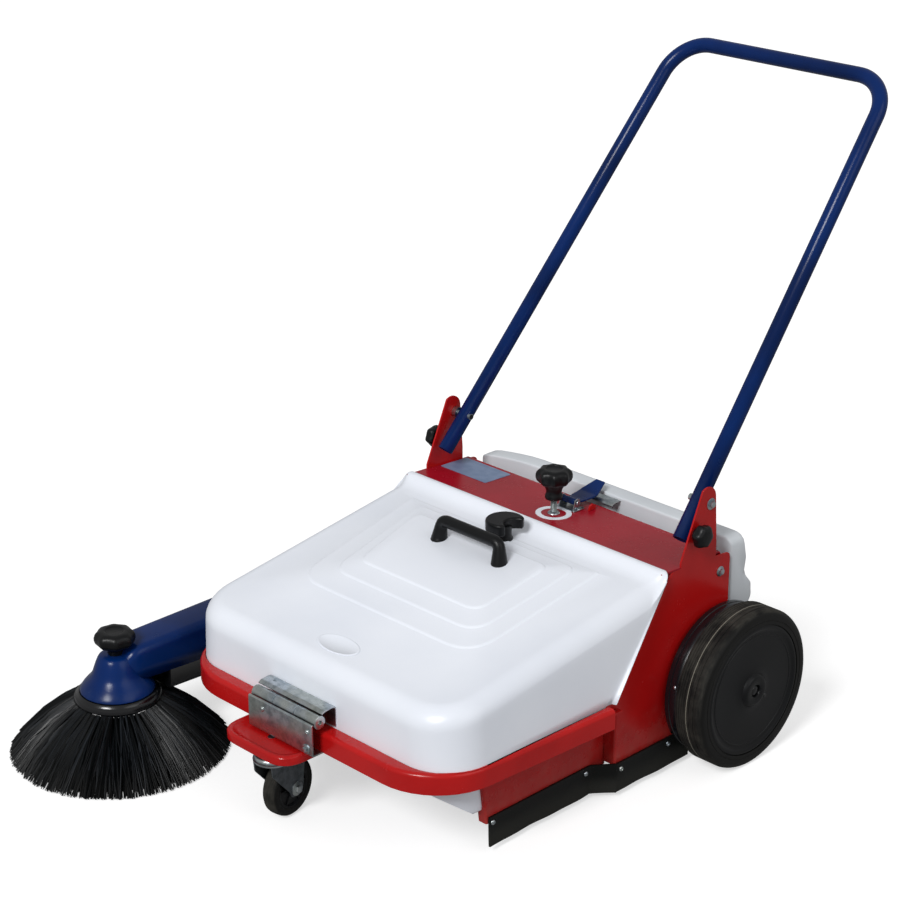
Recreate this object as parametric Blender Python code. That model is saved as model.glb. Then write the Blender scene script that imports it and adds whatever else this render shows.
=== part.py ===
# Manual floor sweeper: a push sweeper with a front debris hopper, one side brush and two drive wheels.
# Metres, +Z up, floor at z = 0. The machine drives towards -Y, its left side is +X.
# The pieces are modelled about the machine's own centre line (x = 0), and one empty carries them all,
# so that the origin lies on the floor under the middle of the whole sweeper's box.

import math

import bmesh
import bpy
import numpy as np
from mathutils import Matrix, Vector

# Clearances and sheet
FIT = 0.0003
SHEET = 0.003
WALL = 0.003

# Width: the brush's half length, from which the widths across the machine follow
BRUSH_HALF = 0.226
GEAR_X = BRUSH_HALF + 0.012
PLATE_X = BRUSH_HALF + 0.0405

# Wheels and their axle
WHEEL_R = 0.125
WHEEL_Y = 0.1315
WHEEL_OUT_X = PLATE_X + 0.0845
TYRE_WIDTH = 0.055
TYRE_DEPTH = 0.022
DRUM_R = 0.118
AXLE_R = 0.010
AXLE_IN_X = GEAR_X - 0.006
WHEEL_STEPS = 32

# Side plates, given as the left plate's outline in y and z
PLATE_LOW_Z = 0.052
PLATE_FRONT_Y = -0.0878
PLATE_KNEE_Z = 0.1424
PLATE_TOP_Y = 0.047
PLATE_TOP_Z = 0.320
PLATE_REAR_Y = 0.1610
PLATE_REAR_TOP_Z = 0.3165
PLATE_FLANGE = 0.022
BEARING_R = 0.0180

# Handle
TUBE_R = 0.0125
BOLT_R = 0.005
HANDLE_END_X = PLATE_X - 0.0213
HANDLE_END_Y = 0.0689
HANDLE_END_Z = 0.3580
HANDLE_TOP_X = PLATE_X - 0.0584
HANDLE_TOP_Y = 0.5765
HANDLE_TOP_Z = 0.9489
HANDLE_BEND_R = 0.065
BOLT_UP_LEG = 0.06520
BOLT_OFF_LEG = 0.00222
STUD_UP_LEG = 0.01589
STUD_OFF_LEG = 0.00007
STUD_R = 0.004
STAR_R = 0.0185

# Deck
DECK_FRONT_Y = 0.004
DECK_FRONT_Z = 0.3292
DECK_REAR_Y = 0.1417
DECK_REAR_Z = 0.3228
DECK_LIP = 0.022
KNOB_Y = 0.061
KNOB_R = 0.0285
KNOB_TOP_Z = 0.401
SCREW_R = 0.005

# Red frame round the hopper: its sides part slightly towards the rear
RING_X = PLATE_X + 0.0312
RING_SPLAY = 0.0555
RING_FRONT_Y = -0.467
RING_REAR_Y = -0.1245
RING_TOP_Z = 0.1700
RING_LOW_Z = 0.1383
RING_CORNER_R = 0.108
LEDGE_Z = 0.1467
LEDGE_X = PLATE_X - 0.019
LEDGE_FRONT_Y = -0.432

# Hopper
HOOD_X = PLATE_X + 0.0155
HOOD_SPLAY = 0.0111
HOOD_FRONT_Y = -0.4431
HOOD_CORNER_R = 0.0765
HOOD_LOW_Z = 0.1503
HOOD_TOP_Y = -0.110
HOOD_TOP_Z = 0.305
HOOD_SLOPE = 0.150
HOOD_EDGE_R = 0.028
HOOD_EDGE_STEPS = 3
HOOD_DRAFT = 0.16
MOUTH_LOW_X = PLATE_X + 0.0225
MOUTH_TOP_X = PLATE_X + 0.0082
MOUTH_TOP_Y = 0.0147
MOUTH_LEAN = 0.783
MOUTH_DEPTH = 0.016
LIP_Z = 0.3322
TUB_X = PLATE_X - 0.028
TUB_FRONT_Y = -0.4185
TUB_REAR_Y = -0.102
TUB_LOW_Z = 0.064
TUB_NOSE_Y = -0.345
TUB_NOSE_Z = 0.118
TUB_LIP_Z = 0.086
TUB_CORNER_R = 0.085
GRIP_X = -0.015
GRIP_Y = -0.1045
GRIP_SPAN = 0.120
GRIP_Z = 0.343
GRIP_R = 0.0095
LATCH_Y = -0.046
LATCH_TOP_Z = 0.352
LATCH_R = 0.026
CAM_LENGTH = 0.050
CAM_Z = 0.3020

# Hinge of the hopper and the lip that carries it
HINGE_Y = -0.4740
HINGE_Z = 0.1900
HINGE_X = -0.009
HINGE_WIDTH = 0.136
PIN_R = 0.0035
KNUCKLE_R = 0.0068
LIP_TOP_Z = 0.1380
LIP_DEPTH = 0.012
LIP_FRONT_Y = -0.5255
LIP_X0 = -0.105
LIP_X1 = 0.040

# Main brush and its gears
GEAR_DISTANCE = 0.096
GEAR_TEETH = 24
PINION_TEETH = 12
MODULE = 2 * GEAR_DISTANCE / (GEAR_TEETH + PINION_TEETH)
GEAR_WIDTH = 0.018
BRUSH_R = 0.095
BRUSH_Z = 0.096
BRUSH_BACK_R = 0.0445
BRUSH_CORE_R = 0.040
SHAFT_R = 0.008
TUFTS_AROUND = 24
TUFTS_ALONG = 10

# Rear wall, hood over the brush, skirts
WALL_Y = 0.1535
WALL_TOP_Z = 0.120
HOOD_CLEAR = 0.0035
HOOD_SHEET = 0.002
SKIRT_X = PLATE_X - 0.0223
SKIRT_FRONT_Y = -0.340
SKIRT_LOW_Z = 0.0460
RUBBER_LOW_Z = 0.010
RUBBER_TOP_Z = 0.057
RUBBER_REAR_Y = 0.074
RUBBER_JOG_Y = -0.118

# Dust drawer at the rear
DRAWER_X = PLATE_X - 0.0365
DRAWER_FRONT_Y = -0.004
DRAWER_LOW_Z = 0.2085
DRAWER_TOP_Z = 0.290
TANK_X = PLATE_X - 0.0045
TANK_FRONT_Y = 0.1665
TANK_TOP_Z = 0.334
TANK_WALL = 0.0025
LEVER_X = 0.012
LEVER_PIN_Y = 0.098
LEVER_PIN_Z = 0.3375
LEVER_END_Y = 0.168
LEVER_TIP_Z = 0.348

# Side brush arm
SIDE_X = -PLATE_X - 0.0995
SIDE_Y = -0.508
PIVOT_Y = -0.035
PIVOT_Z = 0.160
PIVOT_R = 0.008
ARM_HALF = 0.034
ARM_WALL = 0.0025
ARM_REAR_X = -PLATE_X - 0.0605
ARM_LOW_Z = 0.118
ARM_TOP_Z = 0.172
ARM_RISE = 0.060
DOME_LOW_Z = 0.100
DOME_TOP_Z = 0.157
DOME_LOW_R = 0.057
DOME_TOP_R = 0.027
IDLER_R = 0.022
DRIVE_R = 0.034
SIDE_PULLEY_R = 0.020
BELT_R = 0.0032
BELT_GAP = 0.0007
RIM = 0.0045
NARROW = 0.0055
WIDE = 0.0080
REAR_BELT_X = -PLATE_X - 0.006
FRONT_BELT_X = -PLATE_X - 0.0405
SIDE_BELT_Z = 0.120
SIDE_SHAFT_R = 0.006
SIDE_KNOB_LOW_Z = 0.180

# Side brush
SIDE_BRUSH_R = 0.170
SIDE_TIP_Z = 0.001
SIDE_TUFTS = 72

# Caster
CASTER_X = -0.037
CASTER_Y = -0.455
CASTER_R = 0.045
CASTER_WIDTH = 0.026
CASTER_TRAIL = 0.032
CASTER_TURN = math.radians(-10)
CASTER_CROWN_Z = 0.103


# Where the sweeper's box lies about the machine's centre line
LOW_X = SIDE_X - SIDE_BRUSH_R
LOW_Y = SIDE_Y - SIDE_BRUSH_R
HIGH_Y = HANDLE_TOP_Y + TUBE_R
ORIGIN = Vector((-(LOW_X + WHEEL_OUT_X) / 2, -(LOW_Y + HIGH_Y) / 2, 0))

# Colours as seen, written as display values from 0 to 1
FINISHES = {
    "red_paint": ((0.78, 0.05, 0.06), 0.30, 0.0),
    "white_plastic": ((0.90, 0.92, 0.95), 0.38, 0.0),
    "blue_paint": ((0.07, 0.17, 0.42), 0.30, 0.0),
    "black_plastic": ((0.05, 0.05, 0.055), 0.40, 0.0),
    "tyre_rubber": ((0.10, 0.10, 0.095), 0.75, 0.0),
    "skirt_rubber": ((0.04, 0.04, 0.04), 0.60, 0.0),
    "zinc": ((0.68, 0.70, 0.72), 0.32, 1.0),
    "steel": ((0.55, 0.56, 0.58), 0.35, 1.0),
    "bristle": ((0.03, 0.03, 0.035), 0.55, 0.0),
    "nylon": ((0.82, 0.82, 0.78), 0.45, 0.0),
    "belt_rubber": ((0.09, 0.09, 0.09), 0.65, 0.0),
}
X_AXIS = Vector((1, 0, 0))
Z_AXIS = Vector((0, 0, 1))


def linear(value):
    """A display value as the linear value that a shader takes."""
    return value / 12.92 if value <= 0.04045 else ((value + 0.055) / 1.055) ** 2.4


def finish(name):
    """The Principled material of one finish, made once."""
    made = bpy.data.materials.get(name)
    if made:
        return made
    colour, roughness, metallic = FINISHES[name]
    made = bpy.data.materials.new(name)
    made.use_nodes = True
    shader = made.node_tree.nodes["Principled BSDF"]
    shader.inputs["Base Color"].default_value = (*map(linear, colour), 1)
    shader.inputs["Roughness"].default_value = roughness
    shader.inputs["Metallic"].default_value = metallic
    return made


def pivot(name, place, parent=None):
    """An empty on a joint's axis, which carries the pieces that turn or slide there."""
    empty = bpy.data.objects.new(name, None)
    bpy.context.scene.collection.objects.link(empty)
    empty.empty_display_size = 0.02
    empty["place"] = tuple(place)
    empty.parent = parent
    empty.location = Vector(place) - (Vector(parent["place"]) if parent else Vector((0, 0, 0)))
    return empty


def piece(name, shape, look, carrier):
    """An object from a bmesh in machine coordinates, with its origin on its carrier's."""
    home = Vector(carrier["place"])
    bmesh.ops.translate(shape, verts=shape.verts, vec=-home)
    mesh = bpy.data.meshes.new(name)
    shape.to_mesh(mesh)
    shape.free()
    mesh.materials.append(finish(look))
    mesh.shade_smooth()
    mesh.set_sharp_from_angle(angle=math.radians(35))
    made = bpy.data.objects.new(name, mesh)
    bpy.context.scene.collection.objects.link(made)
    made.parent = carrier
    return made


def change(body, shape, operation, carrier):
    """A Boolean of the body with a hidden helper."""
    count = len(body.modifiers)
    helper = piece(f"{body.name}_helper_{count}", shape, "steel", carrier)
    helper.hide_render = True
    helper.display_type = "WIRE"
    modifier = body.modifiers.new(operation.lower(), "BOOLEAN")
    modifier.operation = operation
    modifier.object = helper


def cut(body, *shapes):
    for shape in shapes:
        change(body, shape, "DIFFERENCE", body.parent)


def join(body, *shapes):
    for shape in shapes:
        change(body, shape, "UNION", body.parent)


def at(axis, a, b, along):
    """The point with a and b across the named axis, in X, Y, Z order, and the given value along it."""
    return {"X": (along, a, b), "Y": (a, along, b), "Z": (a, b, along)}[axis]


def prism(outline, axis, low, high):
    """A closed outline drawn out along an axis."""
    shape = bmesh.new()
    corners = [shape.verts.new(at(axis, a, b, low)) for a, b in outline]
    face = shape.faces.new(corners)
    drawn = bmesh.ops.extrude_face_region(shape, geom=[face])
    moved = [part for part in drawn["geom"] if isinstance(part, bmesh.types.BMVert)]
    step = Vector(at(axis, 0, 0, high - low))
    bmesh.ops.translate(shape, verts=moved, vec=step)
    bmesh.ops.recalc_face_normals(shape, faces=shape.faces)
    return shape


def box(low, high):
    outline = [(low[0], low[1]), (high[0], low[1]), (high[0], high[1]), (low[0], high[1])]
    return prism(outline, "Z", low[2], high[2])


def turned(profile, axis, centre, steps=32, ring=False, flat=False):
    """A profile of (radius, along) points turned once about an axis through the centre.

    A ring's profile closes on itself. A flat one has a face, and not an edge, towards the floor."""
    spread = 1 / math.cos(math.pi / steps) if flat else 1
    start = Matrix.Rotation(math.pi / steps if flat else 0, 3, "Z")
    shape = bmesh.new()
    points = [shape.verts.new(start @ Vector((r * spread, 0, h))) for r, h in profile]
    pairs = list(zip(points, points[1:]))
    if ring:
        pairs.append((points[-1], points[0]))
    edges = [shape.edges.new(pair) for pair in pairs]
    bmesh.ops.spin(
        shape, geom=points + edges, cent=(0, 0, 0), axis=(0, 0, 1), angle=math.tau, steps=steps, use_merge=True
    )
    bmesh.ops.remove_doubles(shape, verts=shape.verts, dist=1e-6)
    tilt = {"X": Matrix.Rotation(math.pi / 2, 4, "Y"), "Y": Matrix.Rotation(-math.pi / 2, 4, "X"), "Z": Matrix()}
    bmesh.ops.transform(shape, matrix=Matrix.Translation(centre) @ tilt[axis], verts=shape.verts)
    bmesh.ops.recalc_face_normals(shape, faces=shape.faces)
    return shape


def rod(radius, axis, centre, low, high, steps=24, hole=0.0):
    """A round bar or, with a hole, a round tube, between two values along its axis."""
    where = list(centre)
    along = "XYZ".index(axis)
    where[along] = 0
    if hole:
        profile = [(radius, low), (radius, high), (hole, high), (hole, low)]
        return turned(profile, axis, where, steps, ring=True)
    return turned([(0, low), (radius, low), (radius, high), (0, high)], axis, where, steps)


def rounded(points, radius, steps):
    """A path through 3-D points whose inner corners are arcs of one radius."""
    path = [Vector(points[0])]
    for before, corner, after in zip(points, points[1:], points[2:]):
        corner = Vector(corner)
        back = (Vector(before) - corner).normalized()
        on = (Vector(after) - corner).normalized()
        half = back.angle(on) / 2
        centre = corner + (back + on).normalized() * radius / math.sin(half)
        start = corner + back * radius / math.tan(half) - centre
        end = corner + on * radius / math.tan(half) - centre
        turn = start.rotation_difference(end)
        for i in range(steps + 1):
            path.append(centre + Matrix.Rotation(turn.angle * i / steps, 3, turn.axis) @ start)
    path.append(Vector(points[-1]))
    return path


def tube(path, radius, sides=4, loop=False):
    """A round tube along a path, as a bmesh, with closed ends."""
    curve = bpy.data.curves.new("path", "CURVE")
    curve.dimensions = "3D"
    curve.bevel_depth = radius
    curve.bevel_resolution = sides
    curve.use_fill_caps = not loop
    spline = curve.splines.new("POLY")
    spline.points.add(len(path) - 1)
    for point, place in zip(spline.points, path):
        point.co = (*place, 1)
    spline.use_cyclic_u = loop
    guide = bpy.data.objects.new("path", curve)
    bpy.context.scene.collection.objects.link(guide)
    graph = bpy.context.evaluated_depsgraph_get()
    shape = bmesh.new()
    shape.from_mesh(guide.evaluated_get(graph).to_mesh())
    bpy.data.objects.remove(guide)
    bmesh.ops.remove_doubles(shape, verts=shape.verts, dist=1e-5)
    bmesh.ops.recalc_face_normals(shape, faces=shape.faces)
    return shape


def arc(centre, radius, start, end, steps):
    """Points on an arc in a plane, with angles in degrees."""
    angles = np.radians(np.linspace(start, end, steps + 1))
    return [(centre[0] + radius * math.cos(a), centre[1] + radius * math.sin(a)) for a in angles]


def strip(line, thickness):
    """The outline of a bent sheet: a line and its copy shifted to its left by the thickness."""
    flat = [Vector(point) for point in line]
    sides = [(b - a).normalized() for a, b in zip(flat, flat[1:])]
    left = [Vector((-side.y, side.x)) for side in sides]
    shifted = []
    for i, point in enumerate(flat):
        first = left[max(i - 1, 0)]
        second = left[min(i, len(left) - 1)]
        middle = (first + second).normalized()
        shifted.append(point + middle * thickness / middle.dot(second))
    return [tuple(p) for p in flat] + [tuple(p) for p in reversed(shifted)]


def splayed(half, splay, front, rear, radius, steps):
    """The line of a plan open to the rear, with two rounded front corners, whose sides part by a slope.

    The half width holds at the rear end of the red frame."""
    lean = math.atan(splay)
    centre_y = front + radius
    centre_x = half + splay * (centre_y - RING_REAR_Y) - radius / math.cos(lean)
    turn = math.degrees(lean)
    left = arc((centre_x, centre_y), radius, -turn, -90, steps)
    right = [(-x, y) for x, y in reversed(left)]
    rear_x = half + splay * (rear - RING_REAR_Y)
    return [(rear_x, rear), *left, *right, (-rear_x, rear)]


def star(radius, lobes, depth, centre, axis, low, high):
    """A hand knob: a lobed disc whose rim bulges out past its two flat faces."""
    count = lobes * 3
    outline = []
    for i in range(count):
        angle = math.tau * i / count
        reach = radius - depth * (0.5 - 0.5 * math.cos(lobes * angle))
        outline.append((centre[0] + reach * math.cos(angle), centre[1] + reach * math.sin(angle)))
    shape = prism(outline, axis, low, high)
    faces = [face for face in shape.faces if len(face.verts) == count]
    bmesh.ops.inset_individual(shape, faces=faces, thickness=radius * 0.14, depth=0)
    raised = {corner for face in shape.faces if len(face.verts) == count for corner in face.verts}
    middle = Vector(at(axis, *centre, (low + high) / 2))
    normal = Vector(at(axis, 0, 0, 1))
    for corner in shape.verts:
        if corner not in raised:
            side = 1 if (corner.co - middle).dot(normal) > 0 else -1
            corner.co -= normal * side * (high - low) * 0.22
    return shape


def involute_outline(teeth, centre, phase, backlash):
    """The outline of a spur gear of the shared module, with 20 degree involute flanks."""
    pitch_r = MODULE * teeth / 2
    base_r = pitch_r * math.cos(math.radians(20))
    tip_r = pitch_r + 0.85 * MODULE
    root_r = pitch_r - 1.2 * MODULE

    def roll(radius):
        return math.sqrt(max((radius / base_r) ** 2 - 1, 0)) - math.acos(min(base_r / radius, 1))

    half_tooth = math.pi / (2 * teeth) - backlash / (2 * pitch_r)
    points = []
    for i in range(teeth):
        middle = phase + math.tau * i / teeth
        flank = []
        for radius in (root_r, pitch_r, tip_r):
            half = half_tooth + roll(pitch_r) - roll(max(radius, base_r))
            flank.append((radius, half))
        for radius, half in flank:
            points.append((radius, middle - half))
        for radius, half in reversed(flank):
            points.append((radius, middle + half))
    return [(centre[0] + r * math.cos(a), centre[1] + r * math.sin(a)) for r, a in points]


def groove(radius, along, half):
    """The section of a round-belt pulley's rim and groove, as (radius, along) points, from low to high."""
    rim, low = radius + RIM, half - 0.0024
    return [(rim, along - half), (radius, along - low), (radius, along + low), (rim, along + half)]


# Places that follow from the sizes above
WHEEL_Z = WHEEL_R
BRUSH_Y = WHEEL_Y - math.sqrt(GEAR_DISTANCE**2 - (WHEEL_Z - BRUSH_Z) ** 2)
TYRE_IN_X = WHEEL_OUT_X - TYRE_WIDTH
HANDLE_LEAN = math.atan2(HANDLE_TOP_Z - HANDLE_END_Z, HANDLE_TOP_Y - HANDLE_END_Y)
UP_LEG = Vector((math.cos(HANDLE_LEAN), math.sin(HANDLE_LEAN)))
OFF_LEG = Vector((-UP_LEG.y, UP_LEG.x))
LEG_END = Vector((HANDLE_END_Y, HANDLE_END_Z))
BOLT_Y, BOLT_Z = LEG_END + UP_LEG * BOLT_UP_LEG + OFF_LEG * BOLT_OFF_LEG
STUD_Y, STUD_Z = LEG_END + UP_LEG * STUD_UP_LEG + OFF_LEG * STUD_OFF_LEG
ARM_SKEW = (SIDE_X - ARM_REAR_X) / (SIDE_Y - PIVOT_Y)


def deck_z(y):
    return DECK_FRONT_Z + (DECK_REAR_Z - DECK_FRONT_Z) * (y - DECK_FRONT_Y) / (DECK_REAR_Y - DECK_FRONT_Y)


def hood_z(y):
    return HOOD_TOP_Z + HOOD_SLOPE * (y - HOOD_TOP_Y)


def plate_outline():
    """The left side plate's outline in y and z, with the ear that carries the handle."""
    return [
        (PLATE_FRONT_Y, PLATE_LOW_Z),
        (PLATE_REAR_Y, PLATE_LOW_Z),
        (PLATE_REAR_Y, PLATE_REAR_TOP_Z - 0.006),
        (PLATE_REAR_Y - 0.006, PLATE_REAR_TOP_Z),
        (BOLT_Y + 0.0185, PLATE_TOP_Z),
        (BOLT_Y + 0.0175, BOLT_Z - 0.066),
        *arc((BOLT_Y - 0.0075, BOLT_Z + 0.0085), 0.0195, 0, 125, 6),
        (PLATE_TOP_Y, PLATE_TOP_Z + 0.014),
        (PLATE_TOP_Y, PLATE_TOP_Z),
        (PLATE_FRONT_Y, PLATE_KNEE_Z),
    ]


def side_plate(side, name, chassis):
    """A bent sheet: the outer wall with its handle ear, and a flange turned in along its front."""
    outer = side * PLATE_X
    inner = side * (PLATE_X - SHEET)
    plate = piece(name, prism(plate_outline(), "X", min(outer, inner), max(outer, inner)), "red_paint", chassis)
    front = [(PLATE_FRONT_Y, PLATE_LOW_Z), (PLATE_FRONT_Y, PLATE_KNEE_Z), (PLATE_TOP_Y, PLATE_TOP_Z)]
    turned_in = side * (PLATE_X - PLATE_FLANGE)
    middle = side * (PLATE_X - SHEET / 2)
    flange = prism(strip(front[::-1], SHEET), "X", min(turned_in, middle), max(turned_in, middle))
    join(plate, flange)
    through = (PLATE_X - 2 * SHEET, PLATE_X + SHEET)
    low, high = sorted((side * through[0], side * through[1]))
    cut(plate, rod(BEARING_R + FIT, "X", (0, WHEEL_Y, WHEEL_Z), low, high, 16))
    cut(plate, rod(SHAFT_R + FIT, "X", (0, BRUSH_Y, BRUSH_Z), low, high, 16))
    cut(plate, rod(BOLT_R + FIT, "X", (0, BOLT_Y, BOLT_Z), low, high, 12))
    cut(plate, rod(STUD_R + FIT, "X", (0, STUD_Y, STUD_Z), low, high, 12))
    if side < 0:
        cut(plate, rod(PIVOT_R + FIT, "X", (0, PIVOT_Y, PIVOT_Z), low, high, 14))
    return plate


def deck_panel(chassis):
    """The top sheet: it lies on the side plates, is notched round their ears and turned down at the rear."""
    front = (DECK_FRONT_Y, DECK_FRONT_Z)
    rear = (DECK_REAR_Y, DECK_REAR_Z)
    line = [(DECK_REAR_Y, DECK_REAR_Z - DECK_LIP), rear, front]
    deck = piece("deck_panel", prism(strip(line, SHEET), "X", -PLATE_X, PLATE_X), "red_paint", chassis)
    for side in (-1, 1):
        low, high = sorted((side * (PLATE_X - SHEET - FIT), side * (PLATE_X + 0.01)))
        over, under = PLATE_TOP_Z + FIT, DECK_REAR_Z - DECK_LIP - 0.02
        cut(deck, box((low, DECK_FRONT_Y - 0.02, under), (high, PLATE_TOP_Y + 0.002, over)))
        cut(deck, box((low, PLATE_TOP_Y - FIT, under), (high, DECK_REAR_Y + 0.02, DECK_FRONT_Z + 0.03)))
    cut(deck, rod(SCREW_R + 0.003 + FIT, "Z", (0, KNOB_Y, 0), DECK_REAR_Z - 0.02, DECK_FRONT_Z + 0.02, 20))
    return deck


def handle_bolts(chassis):
    """The two bolts that the handle folds about, each with its nut and a spacer between plate and tube."""
    leg_x = leg_centre_x(BOLT_Z)
    for side, name in ((1, "left"), (-1, "right")):
        face = PLATE_X - SHEET - FIT
        tube_out = leg_x + TUBE_R + 2 * FIT
        tube_in = leg_x - TUBE_R - 2 * FIT
        profile = [
            (0, tube_in - 0.007), (0.0085, tube_in - 0.007), (0.0085, tube_in), (BOLT_R, tube_in),
            (BOLT_R, tube_out), (0.009, tube_out), (0.009, face), (BOLT_R, face), (BOLT_R, PLATE_X + FIT),
            (0.0088, PLATE_X + FIT), (0.0088, PLATE_X + 0.004), (0.005, PLATE_X + 0.0062), (0, PLATE_X + 0.0062),
        ]
        profile = [(r, side * h) for r, h in profile]
        piece(f"handle_bolt_{name}", turned(profile, "X", (0, BOLT_Y, BOLT_Z), 10), "zinc", chassis)


def leg_centre_x(z):
    """How far the handle's leg lies from the centre line at a height."""
    share = (z - HANDLE_END_Z) / (HANDLE_TOP_Z - HANDLE_END_Z)
    return HANDLE_END_X + (HANDLE_TOP_X - HANDLE_END_X) * share


def push_handle(handle):
    """The bent tube, drilled for its bolts and slotted at its lower ends to swing off the knobs' studs."""
    points = [
        (HANDLE_END_X, HANDLE_END_Y, HANDLE_END_Z),
        (HANDLE_TOP_X, HANDLE_TOP_Y, HANDLE_TOP_Z),
        (-HANDLE_TOP_X, HANDLE_TOP_Y, HANDLE_TOP_Z),
        (-HANDLE_END_X, HANDLE_END_Y, HANDLE_END_Z),
    ]
    bar = piece("handle_tube", tube(rounded(points, HANDLE_BEND_R, 6), TUBE_R, 4), "blue_paint", handle)
    along, ahead = Vector((0, *UP_LEG)), Vector((0, *OFF_LEG))
    room = STUD_R + 0.0008
    for side in (-1, 1):
        low, high = sorted((side * (HANDLE_END_X - 0.03), side * (HANDLE_END_X + 0.03)))
        cut(bar, rod(BOLT_R + FIT, "X", (0, BOLT_Y, BOLT_Z), low, high, 16))
        slot = box((low, -room, -room), (high, 0.03, room + 0.002))
        frame = Matrix((X_AXIS, ahead, along)).transposed().to_4x4()
        bmesh.ops.transform(slot, matrix=Matrix.Translation((0, STUD_Y, STUD_Z)) @ frame, verts=slot.verts)
        bmesh.ops.recalc_face_normals(slot, faces=slot.faces)
        cut(bar, slot)


def handle_knob(side, name, carrier):
    """A star knob with its stud, which reaches through the ear into the leg's slot."""
    face = PLATE_X + FIT
    leg_x = leg_centre_x(STUD_Z)
    low, high = sorted((side * (face + 0.005), side * (face + 0.022)))
    head = star(STAR_R, 6, 0.003, (STUD_Y, STUD_Z), "X", low, high)
    knob = piece(f"handle_knob_{name}", head, "black_plastic", carrier)
    low, high = sorted((side * face, side * (face + 0.010)))
    join(knob, rod(0.010, "X", (0, STUD_Y, STUD_Z), low, high, 20))
    low, high = sorted((side * leg_x, side * (face + 0.010)))
    join(knob, rod(STUD_R, "X", (0, STUD_Y, STUD_Z), low, high, 16))


def ring_plan(inset, rear):
    return splayed(RING_X - inset, RING_SPLAY, RING_FRONT_Y + inset, rear, RING_CORNER_R - inset, 7)


def hood_plan(inset, rear):
    return splayed(HOOD_X - inset, HOOD_SPLAY, HOOD_FRONT_Y + inset, rear, HOOD_CORNER_R - inset, 7)


def front_frame(chassis):
    """The red band round the hopper: a wall with a shoulder over it, and a ledge inside for the hopper's rim."""
    outer = ring_plan(0, RING_REAR_Y)
    inner = ring_plan(SHEET, RING_REAR_Y)
    shoulder_z = RING_TOP_Z - 0.004
    wall = prism(outer + inner[::-1], "Z", RING_LOW_Z, shoulder_z)
    band = piece("front_frame", wall, "red_paint", chassis)
    edge = hood_plan(-0.0012, RING_REAR_Y)
    shoulder = bmesh.new()
    rows = []
    for plan, z in (
        (ring_plan(0.0001, RING_REAR_Y), shoulder_z - 0.001), (ring_plan(0.0001, RING_REAR_Y), shoulder_z + 0.0005),
        (ring_plan(0.0035, RING_REAR_Y), RING_TOP_Z), (edge, RING_TOP_Z), (edge, shoulder_z - 0.001),
    ):
        rows.append([shoulder.verts.new((x, y, z)) for x, y in plan])
    for one, other in zip(rows, rows[1:] + rows[:1]):
        for a, b, c, d in zip(one, one[1:], other[1:], other):
            shoulder.faces.new((a, b, c, d))
    for i in (0, -1):
        shoulder.faces.new([row[i] for row in rows])
    bmesh.ops.recalc_face_normals(shoulder, faces=shoulder.faces)
    join(band, shoulder)
    ledge_in = splayed(LEDGE_X, 0, LEDGE_FRONT_Y, RING_REAR_Y, HOOD_CORNER_R - 0.02, 7)
    ledge_out = ring_plan(SHEET / 2, RING_REAR_Y)
    join(band, prism(ledge_out + ledge_in[::-1], "Z", LEDGE_Z - SHEET, LEDGE_Z))
    for side in (-1, 1):
        low, high = sorted((side * LEDGE_X, side * PLATE_X))
        join(band, box((low, RING_REAR_Y - 0.002, LEDGE_Z - SHEET), (high, PLATE_FRONT_Y - FIT, LEDGE_Z)))
        low, high = sorted((side * (PLATE_X - SHEET), side * PLATE_X))
        join(band, box((low, RING_REAR_Y, LEDGE_Z - SHEET), (high, PLATE_FRONT_Y - FIT, RING_TOP_Z)))


def caster_lip(chassis):
    """The pressed plate in front of the band that carries the hinge and the caster."""
    rear = RING_FRONT_Y + 0.022
    corner = 0.035
    left = arc((LIP_X1 - corner, LIP_FRONT_Y + corner), corner, 0, -90, 6)
    right = arc((LIP_X0 + corner, LIP_FRONT_Y + corner), corner, -90, -180, 6)
    outline = [(LIP_X1, rear), *left, *right, (LIP_X0, rear)]
    lip = prism(outline, "Z", LIP_TOP_Z - LIP_DEPTH, LIP_TOP_Z)
    lip = piece("caster_lip", lip, "red_paint", chassis)
    inner_left = arc((LIP_X1 - corner, LIP_FRONT_Y + corner), corner - SHEET, 0, -90, 6)
    inner_right = arc((LIP_X0 + corner, LIP_FRONT_Y + corner), corner - SHEET, -90, -180, 6)
    hollow = [(LIP_X1 - SHEET, rear + SHEET), *inner_left, *inner_right, (LIP_X0 + SHEET, rear + SHEET)]
    cut(lip, prism(hollow, "Z", LIP_TOP_Z - LIP_DEPTH - 0.01, LIP_TOP_Z - SHEET))
    cut(lip, rod(0.006 + FIT, "Z", (*swivel_place(), 0), 0.1, 0.15, 20))
    return lip


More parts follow.
